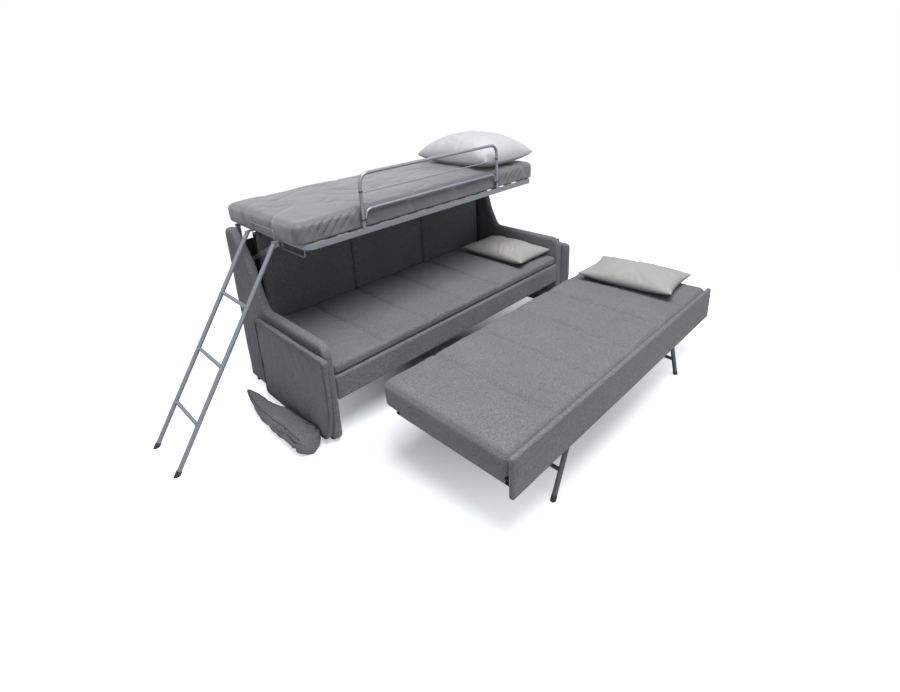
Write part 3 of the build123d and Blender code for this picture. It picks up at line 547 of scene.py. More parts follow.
class SOFA_OT_side_panels(PieceOperator, bpy.types.Operator):
    """Builds both side panels, each an arm and a wing under one cover"""

    bl_idname = "sofa.side_panels"
    bl_label = "Side panels"

    def execute(self, context):
        """The point (t, w): centre + ring(w) * (outline(t) - centre), with its edge turned over an arc."""
        for side in ("left", "right"):
            low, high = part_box(f"side_panel_{side}")
            points, faces = self.panel((high[0] - low[0]) / 2)
            points[:, 0] += (high[0] + low[0]) / 2
            piece = smooth_piece(f"side_cover_{side}", points, faces, self.finishes()["upholstery"])
            turn_outwards(piece.data)
            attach(piece, "sofa")
            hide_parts(f"side_panel_{side}")
        return {"FINISHED"}

    @staticmethod
    def panel(half):
        """Points and faces of a panel half thick to each side of X 0, with a slight unevenness."""
        centre, edge = np.array([0.74, 0.42]), 0.022
        face_rings, edge_rings = 34, 6
        swell_height, crease_height, swell_zone = 0.0022, 0.0012, 0.01
        outline = side_profile()
        count = len(outline)
        ahead = np.roll(outline, -1, 0) - np.roll(outline, 1, 0)
        out = np.stack([-ahead[:, 1], ahead[:, 0]], 1)
        out /= np.linalg.norm(out, axis=1)[:, None]
        if ((outline - outline.mean(0)) * out).sum() < 0:
            out = -out
        inset = outline - edge * out
        rings = []
        for share in np.linspace(0.0, 1.0, face_rings)[1:]:
            rings.append((centre + share * (inset - centre), half))
        for a in np.linspace(0, math.pi / 2, edge_rings)[1:]:
            rings.append((inset + edge * math.sin(a) * out, half - edge * (1 - math.cos(a))))
        face = [np.column_stack([np.full(count, x), flat]) for flat, x in rings]
        other = [ring * np.array([-1, 1, 1]) for ring in face[::-1]]
        stack = np.array(face + other)
        points = stack.reshape(-1, 3)
        index = closed_round(np.arange(len(points)).reshape(len(stack), count))
        points = np.vstack([points, [[half, *centre], [-half, *centre]]])
        pole = len(points) - 2
        first, last = index[0], index[-1]
        cap = np.column_stack([first[:-1], first[1:], np.full(count, pole)])
        other_cap = np.column_stack([last[1:], last[:-1], np.full(count, pole + 1)])
        swell = swell_height * ripple(points, 3, 0.5) + crease_height * creases(points, 5, 0.34, sharp=7.0)
        reach = np.clip(1 - np.abs(np.abs(points[:, 0]) - half) / swell_zone, 0, 1)
        points[:, 0] += np.sign(points[:, 0]) * reach * swell
        return points, cells(index).tolist() + cap.tolist() + other_cap.tolist()


class SOFA_OT_seat(PieceOperator, bpy.types.Operator):
    """Builds the front rail's cover and the seat mattress with its cross channels"""

    bl_idname = "sofa.seat"
    bl_label = "Seat"

    def execute(self, context):
        """Mattress top: ripples and creases minus a valley at every channel, with puckers beside it."""
        rail_radius, rail_swell = 0.013, 0.0012
        lip_gap, top_drop, cover_radius, panels = 0.0006, 0.001, 0.022, 7
        core_side, core_front, core_rear, core_lap = 0.002, -0.006, 0.003, 0.016
        core_radius, core_step = 0.006, 0.08
        padding = context.scene.sofa_padding
        low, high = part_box("front_rail")
        rail = rippled(rail_swell, 11, 0.4)
        self.padded_block(
            "rail_cover", low, high, rail_radius, "sofa", "upholstery", rail, "front_rail", fill=1.0
        )

        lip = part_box("front_rail")[1][2] + lip_gap
        low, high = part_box("seat_mattress")
        channels = np.linspace(low[0], high[0], panels)[1:-1]

        def seat(points, normal, share):
            up = np.clip(normal[:, 2], 0, 1)
            height = padding.fold_height
            points = points + normal * (height * 0.4 * ripple(points, 21, 0.45))[:, None]
            points += normal * (height * 0.5 * creases(points, 22, 0.3, (1.0, 2.2, 1.0)))[:, None]
            return quilted(points, up, channels, padding, high[2])

        self.padded_block(
            "seat_cover", (low[0], low[1], lip), (high[0], high[1], high[2] - top_drop), cover_radius,
            "sofa", "upholstery", seat, "seat_mattress",
        )
        core_low = low[0] + core_side, core_front, low[2]
        core_high = high[0] - core_side, high[1] - core_rear, lip + core_lap
        points, _, faces = rounded_box(core_low, core_high, core_radius, core_step)
        core = build("seat_core", points, faces, "sofa", self.finishes()["upholstery"])
        return {"FINISHED"}


def quilted(points, up, channels, padding, level):
    """Sinks every cross channel into a top face and puckers the cloth beside its stitching.

    A channel drops the top by channel_depth * exp(-((x - bent) / channel_width) ** 2) plus a broad
    hollow that fades as exp(-|x - bent|). What still rises over the level keeps a fifth of its rise.
    """
    wander, hollow, hollow_width = 0.003, 0.008, 0.045
    pucker_pitch, pucker_reach, pucker_least, pucker_more = 0.055, 0.07, 0.0012, 0.0014
    kept_rise = 0.2
    x, y = points[:, 0], points[:, 1]
    drop = np.zeros(len(points))
    for number, channel in enumerate(channels):
        bent = channel + wander * np.sin(y * 9 + number)
        groove = valley(x, bent, padding.channel_width)
        wide = np.exp(-np.abs(x - bent) / pucker_reach)
        phase = y * 2 * math.pi / pucker_pitch + 2.0 * np.sin(y * 11 + number)
        pucker = np.sin(phase) * wide * (1 - groove)
        patch = 0.5 + 0.5 * np.sin(y * 13 + 2.4 * number + np.sin(y * 31))
        drop += padding.channel_depth * (0.55 + 0.45 * patch) * groove
        drop += hollow * np.exp(-np.abs(x - bent) / hollow_width)
        drop -= (pucker_least + pucker_more * patch) * pucker
    points[:, 2] -= up * drop
    over = points[:, 2] > level
    points[:, 2] = np.where(over, level + kept_rise * (points[:, 2] - level), points[:, 2])
    return points


class SOFA_OT_back(PieceOperator, bpy.types.Operator):
    """Builds the three back cushions and the rear cover"""

    bl_idname = "sofa.back"
    bl_label = "Back"

    def execute(self, context):
        """Cushion front: rounded box plus crown(x, z) towards the seat, creased near its seams."""
        side_gap, front_gap, cushion_radius = 0.0004, 0.001, 0.026
        crease_reach, crease_pitch, crease_depth = 0.06, 0.09, 0.002
        tuft_height, tuft_shift, tuft_width, tuft_depth = 0.72, 0.01, 0.012, 0.003
        rear_radius, rear_swell = 0.006, 0.0012
        padding = context.scene.sofa_padding
        for number in (1, 2, 3):
            low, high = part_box(f"back_cushion_{number}")

            def cushion(points, normal, share, number=number, low=low, high=high):
                face = np.clip(-normal[:, 1], 0, 1)
                dome = crown(share[:, 0], share[:, 2], 3.0)
                swell = padding.fold_height * 0.5 * ripple(points, 30 + number, 0.4)
                points = points + normal * swell[:, None]
                to_seam = np.minimum(points[:, 0] - low[0], high[0] - points[:, 0])
                near = np.exp(-to_seam / crease_reach)
                z = points[:, 2]
                pull = np.sin(z * 2 * math.pi / crease_pitch + 3 * np.sin(z * 7 + number))
                points[:, 1] -= face * (padding.cushion_crown * (dome - 0.6) - crease_depth * near * pull)
                tuft = valley(points[:, 2], tuft_height + tuft_shift * number, tuft_width)
                points[:, 1] += face * tuft_depth * (tuft * valley(share[:, 0], 0.5, 0.42))
                points[:, 1] = np.minimum(points[:, 1], high[1])
                return points

            self.padded_block(
                f"back_cover_{number}", (low[0] + side_gap, low[1] + front_gap, low[2]),
                (high[0] - side_gap, high[1], high[2]), cushion_radius, "sofa", "upholstery", cushion,
                f"back_cushion_{number}",
            )
        low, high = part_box("rear_cover")
        rear = rippled(rear_swell, 41, 0.6)
        self.padded_block(
            "rear_cloth", low, high, rear_radius, "sofa", "upholstery", rear, "rear_cover", fill=1.0
        )
        return {"FINISHED"}


class SOFA_OT_bunk_mattress(PieceOperator, bpy.types.Operator):
    """Builds the upper mattress in its fitted sheet"""

    bl_idname = "sofa.bunk_mattress"
    bl_label = "Bunk mattress"

    def execute(self, context):
        """Rounded box plus side bulge, crown, broad folds, slanting gathers, seams and hook dents."""
        edge_radius, side_bulge, crown_drop = 0.044, 0.005, 0.016
        sag_depth, sag_reach, wave_depth, wave_reach = 0.012, 0.3, 0.004, 0.2
        tuck_depth, tuck_height = 0.009, 0.03
        gather_pitch, gather_fade, gather_turn, gather_wander = 0.056, 0.13, 0.1, 0.012
        # Middle along X, half width and depth of each stretch of gathers
        gathers = ((0.25, 0.17, 0.028), (1.78, 0.18, 0.024), (0.95, 0.5, 0.004))
        seam_depth, seam_width, lip_depth = 0.003, 0.006, 0.0025
        hook_gap, hook_slope, hook_shoulder = 0.004, 0.9, 0.008
        padding = context.scene.sofa_padding
        low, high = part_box("upper_mattress")
        end_seams = low[1] + 0.052, low[1] + 0.45
        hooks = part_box("ladder_hooks")
        hook_middles = hooks[0][1] + padding.hook_half, hooks[1][1] - padding.hook_half

        def mattress(points, normal, share):
            up = np.clip(normal[:, 2], 0, 1)
            flat = 1 - np.abs(normal[:, 2])
            away = np.clip(normal[:, 2] + 1, 0, 1)
            ahead = np.clip(-normal[:, 1], 0, 1)
            bulge = side_bulge * (1 - (2 * share[:, 2] - 1) ** 2)
            points = square_foot(points.copy(), normal, edge_radius, 0.35)
            points = points + normal * (flat * bulge)[:, None] * np.array([1, 1, 0])
            sag = valley(points[:, 0], low[0], sag_reach) * np.clip(normal[:, 1], 0, 1)
            points[:, 1] += sag_depth * sag
            points[:, 2] += up * crown_drop * (crown(share[:, 0], share[:, 1], 3.0) - 1)
            swell = 0.8 * ripple(points, 51, 0.5) + 1.7 * creases(points, 52, 0.5, (1.8, 1.0, 1.0), 6.0)
            points += normal * (away * padding.fold_height * swell)[:, None]
            climb = (points[:, 2] - low[2]) + (points[:, 1] - low[1])
            slant = points[:, 0] - 1.1 * climb + gather_wander * ripple(points, 53, 0.12)
            points[:, 1] -= tuck_depth * ahead * np.clip(1 - (points[:, 2] - low[2]) / tuck_height, 0, 1)
            gather = np.abs(np.sin(slant * math.pi / gather_pitch)) ** 0.7 - 0.75
            for centre, width, depth in gathers:
                zone = valley(points[:, 0], centre, width) * np.exp(-((climb / gather_fade) ** 2))
                zone = zone * (up + flat)
                side = np.clip(ahead + up * np.exp(-climb / gather_turn), 0, 1)
                points += normal * (zone * side * depth * np.minimum(gather, 0.1))[:, None]
            behind = np.clip(normal[:, 1], 0, 1) * valley(points[:, 0], low[0], wave_reach)
            points[:, 1] += behind * wave_depth * np.sin(points[:, 2] * 60 + points[:, 0] * 40)
            ends = end_faces(normal)
            for at in end_seams:
                groove = valley(points[:, 1], at, seam_width)
                points[:, 0] -= np.sign(normal[:, 0]) * seam_depth * ends * groove
            lip = valley(up, 0.62, 0.12) * ends
            points -= normal * (lip_depth * lip)[:, None]
            for middle in hook_middles:
                aside = np.clip(np.abs(points[:, 1] - middle) - padding.hook_half, 0, None)
                inside = np.clip(points[:, 0] - hooks[1][0], 0, None)
                cover = hooks[1][2] + hook_gap - hook_slope * np.maximum(aside - hook_shoulder, 0)
                cover -= hook_slope * np.maximum(inside - hook_shoulder, 0)
                points[:, 2] = np.maximum(points[:, 2], cover)
            return points

        self.padded_block(
            "upper_sheet", (low[0] + 0.003, low[1] + 0.004, low[2] + 0.0005),
            (high[0] - 0.003, high[1] - 0.003, high[2] + 0.004), edge_radius, "bunk", "sheet", mattress,
            "upper_mattress",
        )
        return {"FINISHED"}


class SOFA_OT_third_bed(PieceOperator, bpy.types.Operator):
    """Builds the third bed's front panel cover and channelled mattress"""

    bl_idname = "sofa.third_bed"
    bl_label = "Third bed"

    def execute(self, context):
        """Mattress: side bulge, folds and a square foot, a lip over the end rail, quilted on top."""
        panel_radius, panel_swell = 0.010, 0.0008
        edge_radius, side_bulge, lip_depth = 0.034, 0.005, 0.003
        rail_gap, rail_turn, end_drop = 0.002, 0.003, 0.017
        # Where the cross channels lie, as shares of the mattress's length
        channel_shares = np.array([0.170, 0.345, 0.512, 0.682, 0.836])
        padding = context.scene.sofa_padding
        low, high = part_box("bed_front_panel")
        panel = rippled(panel_swell, 61, 0.5)
        self.padded_block(
            "bed_panel_cover", low, high, panel_radius, "third_bed", "upholstery", panel, "bed_front_panel",
            fill=1.0,
        )
        low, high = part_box("bed_mattress")
        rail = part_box("bed_cross_rails")[0][0]
        channels = low[0] + (high[0] - low[0]) * channel_shares

        def mattress(points, normal, share):
            up = np.clip(normal[:, 2], 0, 1)
            flat = 1 - np.abs(normal[:, 2])
            bulge = side_bulge * (1 - (2 * share[:, 2] - 1) ** 2)
            points = points + normal * (flat * bulge)[:, None] * np.array([1, 1, 0])
            folds = 0.5 * ripple(points, 71, 0.45) + 0.7 * creases(points, 72, 0.32, (1.0, 2.4, 1.0))
            swell = padding.fold_height * folds
            points += normal * (np.clip(normal[:, 2] + 1, 0, 1) * swell)[:, None]
            points = square_foot(points, normal, edge_radius)
            before = np.clip((rail - rail_gap - points[:, 0]) / rail_turn, 0, 1) * (normal[:, 2] < 0)
            points[:, 2] -= end_drop * before * np.clip(-3 * normal[:, 2], 0, 1)
            points -= normal * (lip_depth * valley(up, 0.6, 0.1) * end_faces(normal))[:, None]
            return quilted(points, up, channels, padding, high[2])

        self.padded_block(
            "bed_cover", (low[0] + 0.002, low[1] + 0.0045, low[2] + 0.0005),
            (high[0] - 0.002, high[1] - 0.002, high[2]), edge_radius, "third_bed", "upholstery", mattress,
            "bed_mattress",
        )
        return {"FINISHED"}


def hang(points, low, high):
    """Draws a pad's front edge to the rear: 0.075 * (share of depth below mid height) ** 1.6 * nearness."""
    draw_back, zone = 0.075, 0.3
    down = np.clip(((low[2] + high[2]) / 2 - points[:, 2]) / ((high[2] - low[2]) / 2), 0, 1)
    near = np.clip(1 - (points[:, 1] - low[1]) / zone, 0, 1)
    points[:, 1] += draw_back * down**1.6 * near
    return points


class SOFA_OT_arm_pads(PieceOperator, bpy.types.Operator):
    """Builds the arm pads, their welts, flaps and folded lower sections"""

    bl_idname = "sofa.arm_pads"
    bl_label = "Arm pads"

    def execute(self, context):
        """Pad: rounded box with crown. Welt: a tube round a rounded loop. Flap: a thin rounded box."""
        inner_gap, pad_radius, crease_depth, crown_height = 0.0006, 0.014, 0.005, 0.008
        welt_inset, welt_corner, welt_side, welt_radius = 0.004, 0.022, 0.008, 0.0042
        flap_radius, flap_swell = 0.002, 0.0004
        padding = context.scene.sofa_padding
        for number, side in enumerate(("left", "right")):
            outwards = -1 if side == "left" else 1
            low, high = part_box(f"arm_pad_{side}")

            def pad(points, normal, share, outwards=outwards, number=number, low=low, high=high):
                face = np.clip(outwards * normal[:, 0], 0, 1)
                swell = padding.fold_height * 0.8 * ripple(points, 81 + number, 0.3)
                points = points + normal * swell[:, None]
                fold = creases(points, 83 + number, 0.26, (1.0, 1.8, 1.0))
                dome = crown(share[:, 1], share[:, 2], 3) - 1
                points[:, 0] += outwards * face * (crease_depth * fold + crown_height * dome)
                return hang(points, low, high)

            self.padded_block(
                f"pad_cover_{side}", (low[0] + inner_gap, low[1], low[2]),
                (high[0] - inner_gap, high[1], high[2]), pad_radius, f"pad_{side}", "upholstery", pad,
                f"arm_pad_{side}", fill=0.8,
            )
            loop_low = low[1] + welt_inset, low[2] + welt_inset
            loop_high = high[1] - welt_inset, high[2] - welt_inset
            loop = rounded_loop(loop_low, loop_high, welt_corner)
            welts = []
            for at in (low[0] + welt_side, high[0] - welt_side):
                path = hang(np.column_stack([np.full(len(loop), at), loop]), low, high)
                welts.append(tube(path, welt_radius))
            points, faces = joined(*welts)
            # The welts wear the cloth darkened with painted seam shade
            welt = build(f"pad_welt_{side}", points, faces, f"pad_{side}", self.finishes()["welt"])
            turn_outwards(welt.data)

            low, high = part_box(f"pad_flap_{side}")
            flap = rippled(flap_swell, 91, 0.2)
            # The flap wears the welts' cloth, so it is darkened with painted shade too
            self.padded_block(
                f"flap_cover_{side}", low, high, flap_radius, f"pad_{side}", "welt", flap,
                f"pad_flap_{side}", fill=0.2,
            )
            self.fold(side, outwards, number)
        return {"FINISHED"}

    def fold(self, side, outwards, number):
        """The lower section, a leaf with a raised tip, and the two welts along its shoulders.

        The point (t, a) is middle(t) + half_sizes(t) * (cos a, sin a) ** 0.6, with both signs kept.
        """
        lengthwise, around, power = 110, 84, 0.6
        tip_drift, tip_rise, floor_gap = 0.1, 0.085, 0.0015
        bunch_least, bunch_more, relief_depth, relief_start = 0.005, 0.016, 0.005, 0.03
        side_gap, floor_level, welt_radius = 0.002, 0.001, 0.0035
        low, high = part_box(f"pad_fold_{side}")
        width, tallest = high[0] - low[0], high[2] - low[2]
        t = np.linspace(0, 1, lengthwise)[:, None]
        a = np.linspace(0, 2 * math.pi, around, endpoint=False)[None, :]
        nose = (1 - np.clip(1 - t / 0.1, 0, 1) ** 2.4) ** 0.45
        tail = np.maximum((1 - np.clip((t - 0.35) / 0.65, 0, 1) ** 1.8) ** 0.75, 0)
        narrowing = width * (0.97 - 0.25 * t)
        breadth = narrowing * nose * tail
        depth = tallest * (1 - 0.15 * t) * nose * tail**0.7
        inner = high[0] if outwards < 0 else low[0]
        centre = inner + outwards * (narrowing * tail / 2 + tip_drift * t**2)
        rise = tip_rise * np.clip((t - 0.62) / 0.38, 0, 1) ** 1.6
        wide, tall = np.cos(a), np.sin(a)
        x = centre + breadth / 2 * np.sign(wide) * np.abs(wide) ** power
        z = rise + depth / 2 * (1 + np.sign(tall) * np.abs(tall) ** power) + floor_gap
        y = low[1] + (high[1] - low[1]) * t + 0 * a
        points = np.stack([x, y, z], 2).reshape(-1, 3)
        index = closed_round(np.arange(len(points)).reshape(lengthwise, around))
        out = points - points.reshape(lengthwise, around, 3).mean(1).repeat(around, 0)
        size = np.linalg.norm(out, axis=1)[:, None]
        out = out / np.maximum(size, 1e-6)
        share = (t + 0 * a).ravel()
        bunch = bunch_least + bunch_more * valley(share, 0.16, 0.15)
        relief = bunch * creases(points, 95 + number, 0.17, (1.0, 1.7, 1.0), 5.0)
        relief += relief_depth * np.minimum(ripple(points, 97, 0.2), 0.6)
        points += out * relief[:, None] * np.clip(size / relief_start, 0, 1)
        edge = outwards * (inner + outwards * side_gap)
        points[:, 0] = outwards * np.maximum(outwards * points[:, 0], edge)
        points[:, 2] = np.maximum(points[:, 2], floor_level)
        # The fold's welts wear the cloth darkened with painted seam shade
        upholstery, seam_shade_cloth = self.finishes()["upholstery"], self.finishes()["welt"]
        piece = build(f"fold_cover_{side}", points, cells(index), f"fold_{side}", upholstery)
        turn_outwards(piece.data)
        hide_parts(f"pad_fold_{side}")

        rows = points.reshape(lengthwise, around, 3)
        seams = [rows[6:-4, place] for place in self.seam_places(outwards, around)]
        points, faces = joined(*[tube(path, welt_radius, 8, False) for path in seams])
        welt = build(f"fold_welt_{side}", points, faces, f"fold_{side}", seam_shade_cloth)

    @staticmethod
    def seam_places(outwards, count):
        """Columns of the fold's grid where its two welts run, one along each shoulder."""
        outer = 0.36 if outwards < 0 else 0.14
        return [int(count * share) for share in (outer, 0.5 - outer)]


class SOFA_OT_pillows(PieceOperator, bpy.types.Operator):
    """Builds the pillow of each bed"""

    bl_idname = "sofa.pillows"
    bl_label = "Pillows"

    def execute(self, context):
        """Node, body, finish, seed, turn in degrees, dome's power and seam's share of height for each."""
        for node, body, material, seed, turn, plump, hem in (
            ("upper_pillow", "bunk", "pillow_white", 101, 0.0, 0.44, 0.25),
            ("lower_pillow", "sofa", "pillow_grey", 102, 0.0, 0.5, 0.36),
            ("bed_pillow", "third_bed", "pillow_grey", 103, 4.0, 0.5, 0.36),
        ):
            settings = context.scene.sofa_pillows
            self.pillow(settings, node, body, material, seed, math.radians(turn), plump, hem)
        return {"FINISHED"}

    def pillow(self, settings, node, body, material, seed, turn, plump, hem):
        """One pillow in the space of its CAD node, turned about its middle.

        Two sheets over (u, v) in -1..1 meet at the seam, with sides drawn in between the corners. Each
        lies at seam +- height * ((1 - |u| ** 2.6) * (1 - |v| ** 2.6)) ** plump, plus creases.
        """
        overfill, sheet_gap, corner_lift, under_sag = 0.005, 0.0005, 0.012, 0.012
        bed_gap, bed_turn, power = 0.0006, 0.004, 2.6
        low, high = (np.array(v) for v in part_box(node))
        middle = (low + high) / 2
        size = high - low
        c, s = math.cos(turn), math.sin(turn)
        length = (size[1] * c - size[0] * s) / (c * c - s * s)
        width = (size[0] * c - size[1] * s) / (c * c - s * s)
        count = settings.rings
        across = int(count * width / length)
        v = np.sin(np.linspace(-1, 1, count) * math.pi / 2)
        u = np.sin(np.linspace(-1, 1, across) * math.pi / 2)
        grid_u, grid_v = np.meshgrid(u, v, indexing="ij")
        x = grid_u * (width / 2 - settings.draw_in * (1 - grid_v**2))
        y = grid_v * (length / 2 - settings.draw_in * (1 - grid_u**2))
        dome = np.clip((1 - np.abs(grid_u) ** power) * (1 - np.abs(grid_v) ** power), 0, 1) ** plump
        dome = dome.reshape(-1)
        seam = hem * size[2]
        flat = np.stack([x, y, 0 * x], 2).reshape(-1, 3)
        rim = np.maximum(np.abs(grid_u), np.abs(grid_v)).reshape(-1)
        corner = (np.abs(grid_u) * np.abs(grid_v)).reshape(-1)
        angle = np.arctan2(flat[:, 1], flat[:, 0])
        rng = np.random.default_rng(seed)
        pull = sum(np.sin(angle * n + rng.uniform(0, 6)) / n**0.3 for n in (9, 14, 19, 27)) / 2.5
        near = np.clip((rim - 0.35) / 0.5, 0, 1) * np.clip((1 - rim) / 0.12, 0, 1)
        inner = creases(flat, seed, 0.3, sharp=4.0) * np.clip((1 - rim) / 0.2, 0, 1)
        wrinkle = settings.crease_depth * (0.9 * pull * near + 0.9 * inner)
        top = seam + (size[2] + overfill - seam) * dome + wrinkle + corner_lift * corner**3
        bottom = seam - (seam + under_sag) * dome**0.8 + 0.3 * wrinkle + corner_lift * corner**3
        bottom = np.where(rim > 1 - 1e-9, top, np.minimum(bottom, top - sheet_gap))
        index = np.arange(grid_u.size).reshape(grid_u.shape)
        under = index + grid_u.size
        under[0], under[-1], under[:, 0], under[:, -1] = index[0], index[-1], index[:, 0], index[:, -1]
        points = np.vstack([np.column_stack([flat[:, :2], height]) for height in (top, bottom)])
        faces = np.vstack([cells(index), cells(under)[:, (0, 3, 2, 1)]])
        used = np.zeros(len(points), bool)
        used[faces.ravel()] = True
        renumber = np.cumsum(used) - 1
        points, faces = points[used], renumber[faces]
        points = points @ np.array([[c, s, 0], [-s, c, 0], [0, 0, 1]])
        points += np.array([middle[0], middle[1], low[2]])
        points = settle(points, low[2] + bed_gap, bed_turn)
        points[:, 2] = hold_under(points[:, 2], high[2] + overfill)
        piece = build(f"{node}_case", points, faces, body, self.finishes()[material])
        turn_outwards(piece.data)
        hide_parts(node)


class SOFA_OT_finishes(PieceOperator, bpy.types.Operator):
    """Puts the record's finishes on the CAD pieces that stay in view"""

    bl_idname = "sofa.finishes"
    bl_label = "Finishes"

    def execute(self, context):
        """Each node takes the material of its slot."""
        finishes = self.finishes()
        for row in frame["record"]["subparts"]:
            node = frame["nodes"][row["node"]]
            node.data.materials.clear()
            node.data.materials.append(finishes[row["material_slot"]])
        return {"FINISHED"}


# Stage


def floor_material(studio):
    """Matt paper that glows a little for the camera away from the sofa and then fades out."""
    sofa_middle, glow_start, glow_full, fade_share = (1.0, -0.1, 0.0), 0.4, 1.4, 2.2
    material, tree, shader = new_material("Paper sweep, matt white")
    shader.inputs["Base Color"].default_value = (0.62, 0.63, 0.64, 1)
    shader.inputs["Roughness"].default_value = 1.0
    shader.inputs["Specular IOR Level"].default_value = 0.0
    place = add_node(tree, "TexCoord").outputs["Object"]
    away = add_node(tree, "VectorMath", {0: place, 1: sofa_middle}, operation="DISTANCE")
    distance = away.outputs["Value"]
    reach = studio.floor_reach
    fade = add_node(
        tree, "MapRange", {"Value": distance, "From Min": reach, "From Max": fade_share * reach},
        interpolation_type="SMOOTHSTEP",
    )
    clear = add_node(tree, "BsdfTransparent")
    pool = add_node(
        tree, "MapRange",
        {"Value": distance, "From Min": glow_start, "From Max": glow_full, "To Max": studio.floor_glow},
    )
    path = add_node(tree, "LightPath")
    camera_ray = path.outputs["Is Camera Ray"]
    seen = add_node(tree, "Math", {0: pool.outputs[0], 1: camera_ray}, operation="MULTIPLY")
    glow = add_node(tree, "Emission", {"Color": (0.94, 0.97, 1.0, 1.0), "Strength": seen.outputs[0]})
    lit = add_node(tree, "AddShader", {0: shader.outputs["BSDF"], 1: glow.outputs[0]})
    mixed = add_node(tree, "MixShader", {0: fade.outputs[0], 1: lit.outputs[0], 2: clear.outputs[0]})
    output = next(node for node in tree.nodes if node.type == "OUTPUT_MATERIAL")
    tree.links.new(mixed.outputs[0], output.inputs["Surface"])
    return material


def light_world(scene, studio):
    """Pale air that lights the object, and plain white for the camera, glossy and transmission rays."""
    world = bpy.data.worlds.new("Studio air")
    scene.world = world
    world.use_nodes = True
    tree = world.node_tree
    tree.nodes.clear()
    path = add_node(tree, "LightPath").outputs
    seen = path["Is Camera Ray"]
    for ray in ("Is Glossy Ray", "Is Transmission Ray"):
        seen = add_node(tree, "Math", {0: seen, 1: path[ray]}, operation="MAXIMUM").outputs[0]
    air = add_node(tree, "Background", {"Color": (0.92, 0.96, 1, 1), "Strength": studio.sky})
    plain = add_node(tree, "Background", {"Color": (1, 1, 1, 1), "Strength": 1.0})
    mix = add_node(tree, "MixShader", {0: seen, 1: air.outputs[0], 2: plain.outputs[0]})
    add_node(tree, "OutputWorld", {"Surface": mix.outputs[0]})


def photo_camera(scene):
    """A camera at the photo's viewing angle, whose optical centre lies above the picture's middle."""
    picture_width, picture_height = 900, 692
    focal_pixels, optical_centre = 517.58, (449.91, 249.86)
    place, angles = (-1.1657, -2.1775, 1.9264), (-44.448, -19.805, -2.785)
    lens = bpy.data.cameras.new("photo_camera")
    lens.sensor_width = 36.0
    lens.lens = focal_pixels / picture_width * lens.sensor_width
    lens.shift_x = (picture_width / 2 - optical_centre[0]) / picture_width
    lens.shift_y = (optical_centre[1] - picture_height / 2) / picture_width
    lens.clip_end = 100.0
    camera = bpy.data.objects.new("photo_camera", lens)
    yaw, pitch, roll = (math.radians(a) for a in angles)
    forward = Vector((math.sin(-yaw) * math.cos(pitch), math.cos(-yaw) * math.cos(pitch), math.sin(pitch)))
    right = forward.cross(Vector((0, 0, 1))).normalized()
    up = right.cross(forward)
    right, up = right * math.cos(roll) + up * math.sin(roll), up * math.cos(roll) - right * math.sin(roll)
    turn = Matrix((right, up, -forward)).transposed().to_4x4()
    camera.matrix_world = Matrix.Translation(place) @ turn
    scene.collection.objects.link(camera)
    scene.camera = camera


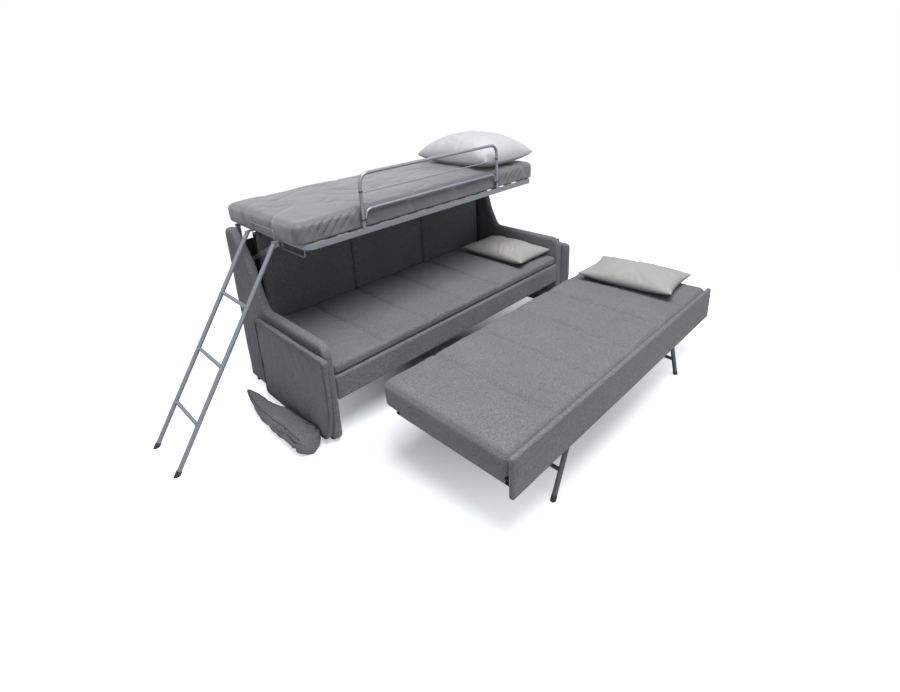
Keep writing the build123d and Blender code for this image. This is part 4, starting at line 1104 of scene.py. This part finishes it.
class SOFA_OT_stage(PieceOperator, bpy.types.Operator):
    """Builds the white floor, the lights and the camera"""

    bl_idname = "sofa.stage"
    bl_label = "Stage"

    def execute(self, context):
        """A level floor at z 0, three area lights, the air and the camera."""
        studio, scene = context.scene.sofa_studio, context.scene
        white = floor_material(studio)
        reach = 30.0
        square = [(-reach, -reach, 0), (reach, -reach, 0), (reach, reach, 0), (-reach, reach, 0)]
        mesh = bpy.data.meshes.new("studio_floor")
        mesh.from_pydata(square, [], [(0, 1, 2, 3)])
        floor = bpy.data.objects.new("studio_floor", mesh)
        scene.collection.objects.link(floor)
        mesh.materials.append(white)

        for name, place, aim, size, power in (
            ("key_light", (0.5, -1.5, 4.9), (0.9, -0.1, 0.4), 3.0, studio.key_power),
            ("fill_light", (-4.2, -1.6, 2.4), (0.6, 0.0, 0.6), 2.6, studio.fill_power),
            ("rear_light", (2.6, 4.2, 3.6), (1.0, 0.2, 0.8), 3.0, studio.fill_power),
        ):
            lamp = bpy.data.lights.new(name, "AREA")
            lamp.size, lamp.energy = size, power
            holder = bpy.data.objects.new(name, lamp)
            holder.location = place
            holder.rotation_euler = (Vector(aim) - Vector(place)).to_track_quat("-Z", "Y").to_euler()
            scene.collection.objects.link(holder)

        light_world(scene, studio)
        photo_camera(scene)
        scene.view_settings.view_transform = "Standard"
        return {"FINISHED"}


class SOFA_PT_panel(bpy.types.Panel):
    """Sizes and buttons of the sofa bunk bed"""

    bl_idname = "SOFA_PT_panel"
    bl_label = "Sofa bunk bed"
    bl_space_type = "VIEW_3D"
    bl_region_type = "UI"
    bl_category = "Sofa bed"

    def draw(self, context):
        """Lists every setting, then every operator."""
        for settings in (context.scene.sofa_padding, context.scene.sofa_pillows, context.scene.sofa_studio):
            box = self.layout.box()
            for name in settings.__annotations__:
                box.prop(settings, name)
        for operator in OPERATORS:
            self.layout.operator(operator.bl_idname)


OPERATORS = (
    SOFA_OT_finishes,
    SOFA_OT_side_panels,
    SOFA_OT_seat,
    SOFA_OT_back,
    SOFA_OT_bunk_mattress,
    SOFA_OT_third_bed,
    SOFA_OT_arm_pads,
    SOFA_OT_pillows,
    SOFA_OT_stage,
)
GROUPS = (
    ("sofa_padding", PaddingSettings),
    ("sofa_pillows", PillowSettings),
    ("sofa_studio", StudioSettings),
)


def register():
    """Registers the settings, operators and panel."""
    for name, group in GROUPS:
        bpy.utils.register_class(group)
        setattr(bpy.types.Scene, name, PointerProperty(type=group))
    for cls in (*OPERATORS, SOFA_PT_panel):
        bpy.utils.register_class(cls)


def unregister():
    """Takes the settings, operators and panel away again."""
    for cls in (SOFA_PT_panel, *OPERATORS[::-1]):
        bpy.utils.unregister_class(cls)
    for name, group in GROUPS[::-1]:
        delattr(bpy.types.Scene, name)
        bpy.utils.unregister_class(group)


def main():
    """Builds everything."""
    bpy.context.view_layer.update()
    register()
    for operator in OPERATORS:
        group, name = operator.bl_idname.split(".")
        if getattr(getattr(bpy.ops, group), name)() != {"FINISHED"}:
            raise RuntimeError(f"{operator.bl_label} did not finish")


if __name__ == "__main__":
    main()
